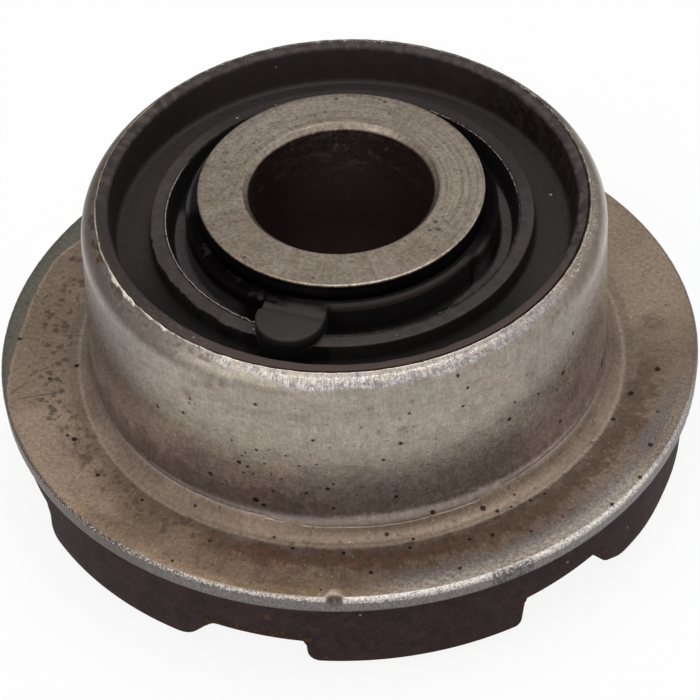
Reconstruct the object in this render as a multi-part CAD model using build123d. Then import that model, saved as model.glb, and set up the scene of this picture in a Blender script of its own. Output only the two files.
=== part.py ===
"""Flanged rubber-to-metal suspension bush.

A thick inner steel tube is carried in a drawn steel collar by one vulcanised rubber body.
Frame: millimetres, origin at the centre of the inner sleeve's lower end, +Z up the bore,
-Y through the orientation tab.
"""
from build123d import *
from math import hypot
import os

# Driving dimensions: inner sleeve, a thick tube that the bolt clamps end to end.
bore_radius = 7.1
sleeve_wall = 3.9
bore_chamfer = 0.4
sleeve_edge_chamfer = 0.15

# Outer sleeve, drawn from sheet.
sheet_thickness = 1.5
collar_radius = 20.3
flange_radius = 27.5
bend_radius = 1.6
lead_in_radius = 1.3
flange_edge_radius = 0.35

# Heights, each measured from the face below it.
sleeve_below_lugs = 0.9
lug_height = 2.6
pad_height = 4.0
collar_rise = 15.25
sleeve_above_rim = 1.25

# Rubber at the top: coat on the inner sleeve, raised ring, lining inside the collar.
coat_thickness = 1.0
coat_edge_radius = 0.3
shoulder_drop = 1.5
groove_width = 1.1
groove_draft = 0.45
groove_depth = 1.8
ring_drop = 1.45
ring_width = 1.15
ring_edge_radius = 0.2
floor_drop = 3.05
lining_thickness = 0.75
lining_draft = 0.55
lining_fillet = 0.9

# Orientation tab, a half-round nose that crosses the ring.
tab_width = 4.9
tab_overhang = 1.1
tab_edge_radius = 0.25

# Rubber pad and lugs under the flange.
pad_inset = 1.1
pad_ring_width = 9.9
lug_corner_radius = 1.0
gap_angle = 17.6
gap_offset_angle = 55.5
gap_clearance = 1.0
recess_depth = 5.0
recess_fillet = 1.0
foot_drop = 1.5

# Radii that follow.
sleeve_radius = bore_radius + sleeve_wall
collar_inner_radius = collar_radius - sheet_thickness
coat_radius = sleeve_radius + coat_thickness
groove_radius = coat_radius + groove_width
ring_inner_radius = groove_radius + groove_draft
ring_outer_radius = ring_inner_radius + ring_width
lining_top_radius = collar_inner_radius - lining_thickness
lining_floor_radius = lining_top_radius - lining_draft
pad_radius = flange_radius - pad_inset
pad_inner_radius = pad_radius - pad_ring_width

# Heights that follow, from the inner sleeve's lower end at zero.
lug_bottom_z = sleeve_below_lugs
gap_roof_z = lug_bottom_z + lug_height
flange_bottom_z = gap_roof_z + pad_height
flange_top_z = flange_bottom_z + sheet_thickness
rim_z = flange_top_z + collar_rise
sleeve_top_z = rim_z + sleeve_above_rim
shoulder_z = sleeve_top_z - shoulder_drop
ring_z = rim_z - ring_drop
groove_floor_z = ring_z - groove_depth
floor_z = rim_z - floor_drop
foot_z = foot_drop
recess_roof_z = lug_bottom_z + recess_depth


# Sections are drawn as (radius, height) on the half plane through the tab.
section_plane = Plane(origin=(0, 0, 0), x_dir=(0, -1, 0), z_dir=(-1, 0, 0))


def turned(profile):
    """Revolve a closed outline of (radius, height, corner radius) about Z."""
    points = [(radius, height) for radius, height, corner in profile]
    corners = [corner for radius, height, corner in profile]
    outline = FilletPolyline(*points, radius=corners, close=True)
    return revolve(section_plane * make_face(outline.edges()), Axis.Z)


def make_inner_sleeve():
    """Thick tube with a countersink at each end of the bore."""
    sink_radius = bore_radius + bore_chamfer
    rim_radius = sleeve_radius - sleeve_edge_chamfer
    return turned([
        (sink_radius, 0, 0),
        (rim_radius, 0, 0),
        (sleeve_radius, sleeve_edge_chamfer, 0),
        (sleeve_radius, sleeve_top_z - sleeve_edge_chamfer, 0),
        (rim_radius, sleeve_top_z, 0),
        (sink_radius, sleeve_top_z, 0),
        (bore_radius, sleeve_top_z - bore_chamfer, 0),
        (bore_radius, bore_chamfer, 0),
    ])


def make_outer_sleeve():
    """Collar and flange in one sheet, bent to the same thickness all the way round."""
    return turned([
        (collar_inner_radius, rim_z, 0),
        (collar_radius, rim_z, lead_in_radius),
        (collar_radius, flange_top_z, bend_radius),
        (flange_radius, flange_top_z, flange_edge_radius),
        (flange_radius, flange_bottom_z, 0),
        (collar_inner_radius, flange_bottom_z, bend_radius + sheet_thickness),
    ])


def make_round_moulding():
    """The round part of the moulding, from the lining's top edge down to a plain pad."""
    return turned([
        (sleeve_radius, shoulder_z, 0),
        (coat_radius, shoulder_z, coat_edge_radius),
        (coat_radius, groove_floor_z, 0),
        (groove_radius, groove_floor_z, 0),
        (ring_inner_radius, ring_z, ring_edge_radius),
        (ring_outer_radius, ring_z, ring_edge_radius),
        (ring_outer_radius, floor_z, 0),
        (lining_floor_radius, floor_z, lining_fillet),
        (lining_top_radius, rim_z, 0),
        (collar_inner_radius, rim_z, 0),
        (collar_inner_radius, flange_bottom_z, bend_radius + sheet_thickness),
        (pad_radius, flange_bottom_z, 0),
        (pad_radius, lug_bottom_z, 0),
        (pad_inner_radius, lug_bottom_z, 0),
        (pad_inner_radius, recess_roof_z, recess_fillet),
        (coat_radius, recess_roof_z, recess_fillet),
        (coat_radius, foot_z, coat_edge_radius),
        (sleeve_radius, foot_z, 0),
    ])


def make_tab():
    """Flat tab level with the coat's shoulder, out over the ring to a half-round nose."""
    nose_y = ring_outer_radius + tab_overhang - tab_width / 2
    root_z = min(groove_floor_z, floor_z) - coat_thickness
    outline = Pos(0, -nose_y / 2) * Rectangle(tab_width, nose_y)
    outline += Pos(0, -nose_y) * Circle(tab_width / 2)
    tab = Pos(0, 0, root_z) * extrude(outline, shoulder_z - root_z)
    top_edges = tab.faces().sort_by(Axis.Z)[-1].edges()
    tab = fillet(top_edges, tab_edge_radius)
    return tab - Pos(0, 0, root_z) * Cylinder(
        sleeve_radius, shoulder_z - root_z, align=(Align.CENTER, Align.CENTER, Align.MIN)
    )


def make_gap(centre_angle):
    """Wedge that opens one gap between two lugs, its angle counted from -Y towards +X."""
    start_radius = pad_inner_radius - gap_clearance
    end_radius = pad_radius + gap_clearance
    outline = Polyline(
        (start_radius, lug_bottom_z - gap_clearance),
        (end_radius, lug_bottom_z - gap_clearance),
        (end_radius, gap_roof_z),
        (start_radius, gap_roof_z),
        close=True,
    )
    wedge = revolve(section_plane * make_face(outline.edges()), Axis.Z, gap_angle)
    return Rot(0, 0, centre_angle - gap_angle / 2) * wedge


def cut_lugs(moulding):
    """Six gaps: one under the tab, one opposite it and two pairs beside them."""
    for centre in (0, gap_offset_angle, 180 - gap_offset_angle):
        moulding -= make_gap(centre)
        moulding -= make_gap(centre + 180)
    clear_radius = (coat_radius + pad_inner_radius) / 2
    lug_edges = [
        edge for edge in moulding.edges()
        if edge.center().Z < gap_roof_z - lug_height / 4
        and hypot(edge.center().X, edge.center().Y) > clear_radius
    ]
    return fillet(lug_edges, lug_corner_radius)


def make_rubber_body():
    """The whole moulding as one solid."""
    return cut_lugs(make_round_moulding()) + make_tab()


nodes = {
    "inner_sleeve": make_inner_sleeve(),
    "outer_sleeve": make_outer_sleeve(),
    "rubber_body": make_rubber_body(),
}

os.makedirs("parts", exist_ok=True)
for name, shape in nodes.items():
    export_step(shape, f"parts/{name}.step")
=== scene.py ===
"""Dresses a flanged rubber-to-metal suspension bush in worn steel and moulded rubber.

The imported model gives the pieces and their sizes. Each piece is remade as a fine skin of
revolution whose section changes with the angle, so that burrs, press lines, dents and lugs
are real geometry. Angles run from -Y, where the tab points, towards +X.
"""
import math

import bmesh
import bpy
import numpy as np
from mathutils import Matrix, Vector


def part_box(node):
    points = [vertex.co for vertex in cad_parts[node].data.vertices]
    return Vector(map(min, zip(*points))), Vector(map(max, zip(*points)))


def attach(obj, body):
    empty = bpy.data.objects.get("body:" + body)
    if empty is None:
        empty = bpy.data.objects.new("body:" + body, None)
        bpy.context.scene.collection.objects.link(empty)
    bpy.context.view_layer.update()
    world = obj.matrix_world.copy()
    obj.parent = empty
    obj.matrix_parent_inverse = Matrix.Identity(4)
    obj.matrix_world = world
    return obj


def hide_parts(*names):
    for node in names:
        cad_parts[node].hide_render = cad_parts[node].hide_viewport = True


bl_info = {
    "name": "Suspension bush",
    "version": (1, 0, 0),
    "blender": (4, 5, 0),
    "location": "View3D > Sidebar > Bush",
    "description": "Builds the sleeve, collar and rubber of a flanged suspension bush",
    "category": "Add Mesh",
}

MM = 0.001
TURN = 2 * math.pi

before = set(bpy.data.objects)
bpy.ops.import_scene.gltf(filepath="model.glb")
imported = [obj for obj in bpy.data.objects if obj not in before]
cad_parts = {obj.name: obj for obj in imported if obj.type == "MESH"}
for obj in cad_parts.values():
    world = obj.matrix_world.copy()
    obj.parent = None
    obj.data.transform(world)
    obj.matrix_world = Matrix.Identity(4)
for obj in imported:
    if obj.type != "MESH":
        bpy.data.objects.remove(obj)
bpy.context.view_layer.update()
sleeve_low, sleeve_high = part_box("inner_sleeve")
collar_low, collar_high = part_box("outer_sleeve")
rubber_low, rubber_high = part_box("rubber_body")


# Settings -------------------------------------------------------------------------------------

def length(name, description, default):
    """A length in metres that a user can change."""
    return bpy.props.FloatProperty(
        name=name, description=description, default=default, min=0, unit="LENGTH", precision=5
    )


def angle(name, description, degrees):
    """An angle that a user can change, its default given in degrees."""
    return bpy.props.FloatProperty(
        name=name, description=description, default=math.radians(degrees), unit="ROTATION"
    )


def colour(name, description, default):
    """A linear colour that a user can change."""
    return bpy.props.FloatVectorProperty(
        name=name, description=description, default=default, size=3, min=0, max=1, subtype="COLOR"
    )


class SleeveSettings(bpy.types.PropertyGroup):
    """Sizes and colours of the thick inner tube."""
    bore_radius: length("Bore radius", "Radius of the bolt hole", 7.1 * MM)
    sink_width: length("Countersink", "Width and depth of the countersink", 0.42 * MM)
    edge_rounding: length("Edge rounding", "Rounding of the outer edges", 0.10 * MM)
    steel: colour("Steel", "Turned end faces", (0.292, 0.240, 0.198))
    bore: colour("Bore", "Oily brown film in the bore", (0.094, 0.062, 0.055))


class CollarSettings(bpy.types.PropertyGroup):
    """Sizes and colours of the drawn collar and its flange."""
    sheet: length("Sheet", "Thickness of the sheet", 1.5 * MM)
    radius: length("Collar radius", "Outer radius of the collar", 20.3 * MM)
    bend: length("Bend radius", "Fillet from the collar into the flange", 2.0 * MM)
    lead_in: length("Lead-in radius", "Rounding at the top of the collar", 2.27 * MM)
    edge_rounding: length("Edge rounding", "Rolled upper edge of the flange", 0.35 * MM)
    burr_height: length("Burr", "Height of the ragged burr on the rim", 0.09 * MM)
    steel: colour("Steel", "Bare drawn steel", (0.395, 0.338, 0.287))
    patina: colour("Patina", "Oily brown film on the flange", (0.148, 0.100, 0.068))


class RubberSettings(bpy.types.PropertyGroup):
    """Sizes and colours of the moulding."""
    lining: length("Lining", "Thickness of the rubber inside the rim", 0.75 * MM)
    lining_draft: length("Lining draft", "How far the lining leans in at its foot", 0.55 * MM)
    floor_drop: length("Floor drop", "Depth of the floor under the rim", 3.05 * MM)
    ring_drop: length("Ring drop", "Depth of the ring's top under the rim", 1.45 * MM)
    ring_outer_radius: length("Ring outside", "Outer radius of the raised ring", 14.7 * MM)
    ring_width: length("Ring width", "Width of the ring's top", 1.15 * MM)
    groove_depth: length("Groove depth", "Depth of the groove inside the ring", 1.8 * MM)
    groove_width: length("Groove width", "Width of the groove's floor", 1.1 * MM)
    coat: length("Coat", "Thickness of the rubber on the sleeve", 1.0 * MM)
    shoulder_drop: length("Shoulder drop", "Depth of the coat's end under the sleeve's", 1.5 * MM)
    tab_width: length("Tab width", "Width of the tab", 4.9 * MM)
    tab_overhang: length("Tab overhang", "Reach of the tab past the ring", 1.1 * MM)
    gap_roof: length("Gap depth", "Height of the lugs over the gaps", 2.6 * MM)
    pad_ring: length("Pad ring", "Radial width of the lugs", 9.9 * MM)
    recess_depth: length("Recess", "Depth of the recess inside the lugs", 5.0 * MM)
    foot_drop: length("Foot drop", "Height of the coat's lower end", 1.5 * MM)
    gap_angle: angle("Gap angle", "Opening of each gap between lugs", 17.6)
    gap_offset: angle("Gap offset", "Angle from the tab to the next gap", 55.5)
    rubber: colour("Rubber", "Vulcanised rubber", (0.0235, 0.0120, 0.0125))
    dust: colour("Dust", "Dry bloom and dust on the rubber", (0.120, 0.105, 0.095))


class StageSettings(bpy.types.PropertyGroup):
    """The view, the floor and the lamps."""
    azimuth: angle("Azimuth", "Camera angle from -Y towards +X", 18.4)
    elevation: angle("Elevation", "Camera angle over the floor", 43.83)
    roll: angle("Roll", "Clockwise roll of the camera", 2.91)
    distance: length("Distance", "Camera distance", 0.34004)
    target_height: length("Target height", "Height of the point in the frame's middle", 8.25 * MM)
    bright_lift: angle("Bright side", "Height of the studio's brightest side", 50)
    bright_turn: angle("Bright turn", "Turn of the brightest side, right of the camera", 22)
    white: colour("White", "Floor and backdrop", (0.88, 0.88, 0.88))


# Skins of revolution --------------------------------------------------------------------------

def even_angles(columns, fine_places=()):
    """Column angles round the turn, packed closer at each (centre, half width, factor)."""
    samples = np.linspace(0, TURN, 20001)
    density = np.ones_like(samples)
    far = 50.0
    for centre, half_width, factor in fine_places:
        away = np.abs((samples - centre + math.pi) % TURN - math.pi)
        past = np.minimum((away - half_width) / (0.15 * half_width), far)
        density += (factor - 1) / (1 + np.exp(past))
    reached = np.concatenate([[0], np.cumsum((density[1:] + density[:-1]) / 2)])
    return np.interp(np.arange(columns) / columns * reached[-1], reached, samples)


def ripple(angles, seed, lowest, highest):
    """Smooth noise round the turn, about -1 to 1, from cosines of whole frequencies."""
    dice = np.random.default_rng(seed)
    waves = np.arange(lowest, highest + 1)
    phases = dice.uniform(0, TURN, len(waves))
    heights = dice.uniform(0.5, 1, len(waves))
    noise = (np.cos(np.outer(angles, waves) + phases) * heights).sum(axis=1)
    return noise / (1.6 * math.sqrt(len(waves) / 2))


def around(degrees, radius, height):
    """A point from its angle from the tab, its radius and its height."""
    turn = math.radians(degrees)
    return radius * math.sin(turn), -radius * math.cos(turn), height


def bell(value, centre, width):
    """A smooth hump of height 1."""
    return np.exp(-((value - centre) / width) ** 2)


def degrees_from(angles, centre_degrees):
    """How far each angle lies from a centre, in degrees."""
    away = (angles - math.radians(centre_degrees) + math.pi) % TURN - math.pi
    return np.abs(np.degrees(away))


def turn_bell(angles, centre_degrees, width_degrees):
    """A smooth hump round the turn, centred on an angle in degrees."""
    return bell(degrees_from(angles, centre_degrees), 0, width_degrees)


def smooth_step(value, low, high):
    """Rises smoothly from 0 at low to 1 at high."""
    share = np.clip((value - low) / (high - low), 0, 1)
    return share * share * (3 - 2 * share)


def rounded_rows(corners, columns):
    """Rows of (across, height) round a closed outline with rounded corners.

    Each corner is (across, height, rounding, arc steps, straight steps), the last counting
    the steps from this corner to the next, or just (across, height) for a sharp corner and
    one step. A place may be an array with a value per column.
    """
    full = np.ones(columns)
    corners = [corner if len(corner) > 2 else (*corner, 0, 1, 1) for corner in corners]
    places = [np.stack([full * across, full * height]) for across, height, *_ in corners]
    arcs = []
    for index, (_, _, rounding, arc_steps, _) in enumerate(corners):
        here = places[index]
        before = here - places[index - 1]
        after = places[(index + 1) % len(places)] - here
        before = before / np.linalg.norm(before, axis=0)
        after = after / np.linalg.norm(after, axis=0)
        if np.all(rounding == 0):
            arcs.append([here])
            continue
        side = np.sign(before[0] * after[1] - before[1] * after[0])
        bend = np.arccos(np.clip((before * after).sum(axis=0), -1, 1))
        start = here - before * rounding * np.tan(bend / 2)
        arm = np.stack([before[1], -before[0]]) * side * rounding
        centre = start - arm
        points = []
        for step in range(arc_steps + 1):
            swing = bend * side * step / arc_steps
            turned = np.stack([
                arm[0] * np.cos(swing) - arm[1] * np.sin(swing),
                arm[0] * np.sin(swing) + arm[1] * np.cos(swing),
            ])
            points.append(centre + turned)
        arcs.append(points)
    rows = []
    for index, corner in enumerate(corners):
        rows.extend(arcs[index])
        first, last = arcs[index][-1], arcs[(index + 1) % len(arcs)][0]
        for step in range(1, corner[4]):
            rows.append(first + (last - first) * step / corner[4])
    return np.array(rows)


def skin(name, radius, height, angles, sharp_degrees=42):
    """A closed mesh object through rows of points, each row a full turn."""
    rows, columns = radius.shape
    across = radius * np.sin(angles)
    along = -radius * np.cos(angles)
    points = np.stack([across, along, height], axis=-1).reshape(-1, 3)
    row = np.arange(rows)[:, None] * columns
    next_row = (np.arange(1, rows + 1) % rows)[:, None] * columns
    column = np.arange(columns)[None, :]
    next_column = (column + 1) % columns
    faces = np.stack(
        [row + column, next_row + column, next_row + next_column, row + next_column], axis=-1
    ).reshape(-1, 4)
    mesh = bpy.data.meshes.new(name)
    mesh.from_pydata(points.tolist(), [], faces.tolist())
    return finished_object(name, mesh, sharp_degrees)


def finished_object(name, mesh, sharp_degrees=42):
    """Links a closed mesh as an object, faces outward, shaded smooth but for sharp edges."""
    shape = bmesh.new()
    shape.from_mesh(mesh)
    bmesh.ops.remove_doubles(shape, verts=shape.verts, dist=0.0005 * MM)
    bmesh.ops.recalc_face_normals(shape, faces=shape.faces)
    limit = math.radians(sharp_degrees)
    for face in shape.faces:
        face.smooth = True
    for edge in shape.edges:
        edge.smooth = edge.calc_face_angle(0) < limit
    shape.to_mesh(mesh)
    shape.free()
    mesh.update()
    piece = bpy.data.objects.new(name, mesh)
    bpy.context.scene.collection.objects.link(piece)
    return piece


def seat(piece, node):
    """Puts a piece in a node's place, on the bush's one body."""
    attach(piece, "root")
    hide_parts(node)


# Inner sleeve ---------------------------------------------------------------------------------

def sleeve_rows(settings, columns):
    """The tube's outline, from the top countersink outward and back up the bore."""
    outer = sleeve_high.x
    top = sleeve_high.z
    bottom = sleeve_low.z
    bore = settings.bore_radius
    sink = settings.sink_width
    edge = settings.edge_rounding
    soft = 0.05 * MM
    return rounded_rows([
        (bore + sink, top, soft, 3, 22),
        (outer, top, edge, 4, 22),
        (outer, bottom, edge, 4, 22),
        (bore + sink, bottom, soft, 3, 3),
        (bore, bottom + sink, soft, 3, 28),
        (bore, top - sink, soft, 3, 3),
    ], columns)


# Collar ---------------------------------------------------------------------------------------

# Marks on the collar, as angles in degrees from the tab and real sizes.
DENT_ANGLE = 14.1
DENT_RADIUS = 0.78 * MM
SCAR_ANGLE = 43.0
SCAR_HALF_WIDTH = 3.2
PRESS_LINES = (
    # start, end, height over the flange's top, width, depth (negative is a ledge)
    (-70.0, -0.5, 1.05 * MM, 0.055 * MM, 0.030 * MM),
    (51.0, 84.0, 1.05 * MM, 0.055 * MM, 0.030 * MM),
    (7.5, 44.5, 0.76 * MM, 0.055 * MM, -0.035 * MM),
    (-0.9, 2.0, 0.86 * MM, 0.055 * MM, -0.035 * MM),
)
# The fillet ends in a crease, nearer the wall at both sides: the middle of the arc where it
# is widest, the two angles from there between which it draws in, and the two radii.
CREASE_MIDDLE = 26.4
CREASE_BEND = (46.0, 98.0)
CREASE_RADIUS = (22.24 * MM, 21.42 * MM)
CREASE_RISE = 0.25 * MM
# From the collar's inside to the flange's edge, in millimetres.
FLANGE_REACH = 8.7
# The flange was trimmed a little flat behind.
TRIM_MIDDLE = 18.4
TRIM_BEND = (86.0, 140.0)
TRIM_DEPTH = 0.30 * MM


def arc_window(angles, start_degrees, end_degrees, fade_degrees=0.8):
    """1 between two angles and 0 outside, with short fades."""
    half = (end_degrees - start_degrees) / 2
    away = degrees_from(angles, (start_degrees + end_degrees) / 2)
    return 1 - smooth_step(away, half - fade_degrees, half + fade_degrees)


def collar_rows(settings, angles):
    """The sheet's outline: burr, lead-in, wall, fillet, flange, sheared edge and inside."""
    columns = len(angles)
    top = collar_high.z
    flange_top = collar_low.z + settings.sheet
    inner = settings.radius - settings.sheet
    arc_radius = settings.lead_in
    arc_across = settings.radius - arc_radius
    lead_in_depth = 2.18 * MM
    arc_height = top - lead_in_depth
    torn = arc_window(angles, -58, -4, 6)
    uneven = 0.022 * ripple(angles, 3, 10, 60) + 0.020 * torn * ripple(angles, 6, 40, 150)
    burr_radius = inner + (0.23 + uneven) * MM
    burr_share = 0.50 + 0.35 * torn + (0.20 + 0.25 * torn) * ripple(angles, 4, 20, 120)
    burr_share = np.clip(burr_share, 0.05, 1.5)
    burr_top = top - 0.03 * MM + settings.burr_height * burr_share
    foot = burr_radius + 0.12 * MM
    first_swing = np.arccos((foot - arc_across) / arc_radius)
    outline = [
        (inner, top - 0.30 * MM),
        (burr_radius - 0.05 * MM, burr_top - 0.06 * MM),
        (burr_radius, burr_top),
        (burr_radius + 0.04 * MM, burr_top - 0.01 * MM),
    ]
    lead_steps = 18
    for step in range(lead_steps):
        swing = first_swing * (1 - step / lead_steps)
        rough = 0.008 * MM * ripple(angles, 40 + step, 90, 300) * (1 - step / lead_steps)
        across = arc_across + (arc_radius + rough) * np.cos(swing)
        outline.append((across, arc_height + (arc_radius + rough) * np.sin(swing)))
    shear = 0.012 * MM * ripple(angles, 5, 60, 240)
    trim = TRIM_DEPTH * smooth_step(degrees_from(angles, TRIM_MIDDLE), *TRIM_BEND)
    edge_radius = collar_high.x - 0.03 * MM + shear - trim
    drawn_in = smooth_step(degrees_from(angles, CREASE_MIDDLE), *CREASE_BEND)
    crease = CREASE_RADIUS[0] + (CREASE_RADIUS[1] - CREASE_RADIUS[0]) * drawn_in
    bend = settings.bend * (crease - settings.radius) / (CREASE_RADIUS[0] - settings.radius)
    outline += [
        (settings.radius, arc_height, 0, 1, 12),
        (settings.radius, flange_top + CREASE_RISE, bend, 44, 3),
        (crease, flange_top, 0.10 * MM, 3, 10),
        (edge_radius, flange_top, settings.edge_rounding, 6, 7),
        (edge_radius - 0.10 * MM, collar_low.z, 0.16 * MM, 3, 4),
        (inner, collar_low.z, settings.bend + settings.sheet, 5, 3),
    ]
    rows = rounded_rows(outline, columns)
    lean = 0.20 * MM * turn_bell(angles, -72, 42) * smooth_step(rows[:, 1], 12 * MM, 21 * MM)
    rows[:, 0] -= lean * (rows[:, 0] > inner + 0.1 * MM)
    return rows


def press_lines(rows, angles, settings):
    """Cuts the bend tool's lines into the fillet, or raises them as ledges."""
    flange_top = collar_low.z + settings.sheet
    radius, height = rows[:, 0], rows[:, 1]
    in_fillet = (radius > settings.radius - 0.01 * MM) & (radius < CREASE_RADIUS[0])
    in_fillet &= (height > flange_top - 0.01 * MM) & (height < flange_top + 3 * MM)
    for start, end, line_height, width, depth in PRESS_LINES:
        window = arc_window(angles, start, end)[None, :]
        line = bell(height, flange_top + line_height, width)
        move = depth * window * line * in_fillet * math.sqrt(0.5)
        radius -= move
        height -= move
    return rows


def edge_marks(rows, angles, settings):
    """The punched dent in the flange's front edge and the scar beside it."""
    flange_top = collar_low.z + settings.sheet
    x = rows[:, 0] * np.sin(angles)
    y = -rows[:, 0] * np.cos(angles)
    z = rows[:, 1]
    centre = around(DENT_ANGLE, collar_high.x + 0.05 * MM, flange_top)
    gap = np.sqrt((x - centre[0]) ** 2 + (y - centre[1]) ** 2 + (z - centre[2]) ** 2)
    push = np.clip(DENT_RADIUS - gap, 0, None)
    near = (rows[:, 0] > collar_high.x - 1.5 * MM) & (z > collar_low.z)
    push_in, push_down = 0.75, 0.6
    rows[:, 0] -= push * near * push_in
    rows[:, 1] -= push * near * push_down
    scar = arc_window(angles, SCAR_ANGLE - SCAR_HALF_WIDTH, SCAR_ANGLE + SCAR_HALF_WIDTH, 1.2)
    rough = 0.5 + 0.5 * ripple(angles, 21, 90, 260)
    on_edge = smooth_step(rows[:, 0], collar_high.x - 0.25 * MM, collar_high.x - 0.05 * MM)
    rows[:, 0] -= 0.10 * MM * scar * rough * on_edge * (z > collar_low.z + 0.2 * MM)
    return rows


# Rubber ---------------------------------------------------------------------------------------

def lug_gaps(settings):
    """Each gap's corners in turn: angle in degrees, height over the lugs, rounding.

    The two gaps in front lean and slope as they came out of the mould; the rest are plain.
    """
    depth = settings.gap_roof
    half = math.degrees(settings.gap_angle) / 2
    offset = math.degrees(settings.gap_offset)
    under_tab = (
        (-11.9, 0.0, 2.1 * MM), (-7.8, depth - 0.52 * MM, 1.6 * MM),
        (8.8, depth - 0.70 * MM, 0.35 * MM), (9.1, 0.0, 1.0 * MM),
    )
    right_of_tab = (
        (45.6, 0.0, 0.7 * MM), (46.5, depth - 0.20 * MM, 0.35 * MM),
        (61.3, depth + 0.22 * MM, 0.4 * MM), (64.0, 1.22 * MM, 1.5 * MM),
        (68.0, 0.38 * MM, 3.0 * MM), (84.0, 0.20 * MM, 6.0 * MM), (96.0, 0.0, 6.0 * MM),
    )
    gaps = [under_tab, right_of_tab]
    for centre in (180 - offset, 180, 180 + offset, 360 - offset):
        gaps.append((
            (centre - half, 0.0, 1.15 * MM), (centre - half, depth, 0.75 * MM),
            (centre + half, depth, 0.75 * MM), (centre + half, 0.0, 1.15 * MM),
        ))
    return gaps


def lug_outline(settings, radius):
    """Angles and heights of the lugs' lower outline once round, and its inward normal.

    The outline is drawn unrolled at the pad's radius, with every corner rounded.
    """
    corners = [corner for gap in lug_gaps(settings) for corner in gap]
    bottom = rubber_low.z
    places = np.array([(math.radians(turn) * radius, bottom + rise) for turn, rise, _ in corners])
    full_turn = np.array([TURN * radius, 0])
    count = len(corners)
    corner_steps = 5
    level_step, steep_step = 0.26 * MM, 0.5 * MM
    legs, cuts, bends, sides = [], [], [], []
    for index in range(count):
        ahead = places[(index + 1) % count] + (full_turn if index == count - 1 else 0)
        legs.append(ahead - places[index])
    ways = [leg / np.linalg.norm(leg) for leg in legs]
    for index in range(count):
        before, after = ways[index - 1], ways[index]
        bend = math.acos(np.clip(before @ after, -1, 1))
        bends.append(bend)
        sides.append(np.sign(before[0] * after[1] - before[1] * after[0]))
        cuts.append(corners[index][2] * math.tan(bend / 2))
    points, normals = [], []
    for index in range(count):
        before, after = ways[index - 1], ways[index]
        start = places[index] - before * cuts[index]
        inward = np.array([-before[1], before[0]])
        centre = start + inward * sides[index] * corners[index][2]
        for step in range(corner_steps + 1):
            swing = sides[index] * bends[index] * step / corner_steps
            spin = np.array([
                [math.cos(swing), -math.sin(swing)],
                [math.sin(swing), math.cos(swing)],
            ])
            points.append(centre + spin @ (start - centre))
            normals.append(spin @ inward)
        straight = np.linalg.norm(legs[index]) - cuts[index] - cuts[(index + 1) % count]
        spacing = level_step if abs(after[0]) > 0.7 else steep_step
        steps = max(2, int(round(straight / spacing)))
        leave = points[-1]
        for step in range(1, steps):
            points.append(leave + after * straight * step / steps)
            normals.append(np.array([-after[1], after[0]]))
    points = np.array(points)
    normals = np.array(normals)
    return points[:, 0] / radius, points[:, 1], normals[:, 0] / radius, normals[:, 1]


def rubber_top_rows(settings, angles):
    """From the sleeve outward over shoulder, groove, ring and floor to the collar's bend."""
    columns = len(angles)
    sleeve = sleeve_high.x
    coat = sleeve + settings.coat
    rim = collar_high.z
    shoulder = sleeve_high.z - settings.shoulder_drop
    ring_top = rim - settings.ring_drop
    ring_outer = settings.ring_outer_radius
    ring_inner = ring_outer - settings.ring_width
    groove_floor = ring_top - settings.groove_depth
    groove_outer = coat + settings.groove_width
    floor = rim - settings.floor_drop
    collar_inner = collar_high.x - FLANGE_REACH * MM
    lean = 0.30 * turn_bell(angles, -40, 50)
    waver = 0.03 * ripple(angles, 31, 5, 60)
    lining_top = collar_inner - settings.lining - (lean - 0.05 + waver) * MM
    lining_foot = collar_inner - settings.lining - settings.lining_draft
    worn = 0.9 * turn_bell(angles, -45, 34) + 0.55 * turn_bell(angles, 120, 50)
    shoulder_inner = shoulder - 0.5 * MM * worn
    shoulder_outer = shoulder_inner - 0.35 * MM * worn
    coat_edge = coat - 0.40 * MM * arc_window(angles, -12, 74, 6)
    lip = (0.10 + 0.05 * ripple(angles, 32, 20, 120)) * MM
    lip = np.clip(lip, 0.02 * MM, None)
    torn = 0.04 + 0.13 * ripple(angles, 34, 6, 44) + 0.06 * ripple(angles, 35, 44, 170)
    ring_edge = ring_outer + torn * arc_window(angles, -74, -9, 4) * MM
    bend = 3.1 * MM
    rows = rounded_rows([
        (sleeve, shoulder_inner, 0, 1, 3),
        (coat_edge, shoulder_outer, 0.28 * MM, 5, 6),
        (coat_edge + 0.04 * MM, groove_floor, 0.25 * MM, 3, 2),
        (groove_outer, groove_floor, 0.25 * MM, 3, 5),
        (ring_inner - 0.02 * MM, ring_top + lip * 0.6),
        (ring_inner, ring_top + lip),
        (ring_inner + 0.07 * MM, ring_top + lip * 0.8),
        (ring_inner + 0.14 * MM, ring_top, 0, 1, 4),
        (ring_edge, ring_top, 0.12 * MM, 4, 5),
        (ring_outer + 0.04 * MM, floor, 0.30 * MM, 4, 8),
        (lining_foot, floor, 0.45 * MM, 6, 5),
        (lining_top, rim, 0.32 * MM, 6, 3),
        (collar_inner, rim, 0, 1, 4),
        (collar_inner, collar_low.z, bend, 4, 2),
        (collar_inner + bend + 1 * MM, collar_low.z),
        (sleeve, collar_low.z),
    ], columns)
    return rows[:-1]


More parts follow.
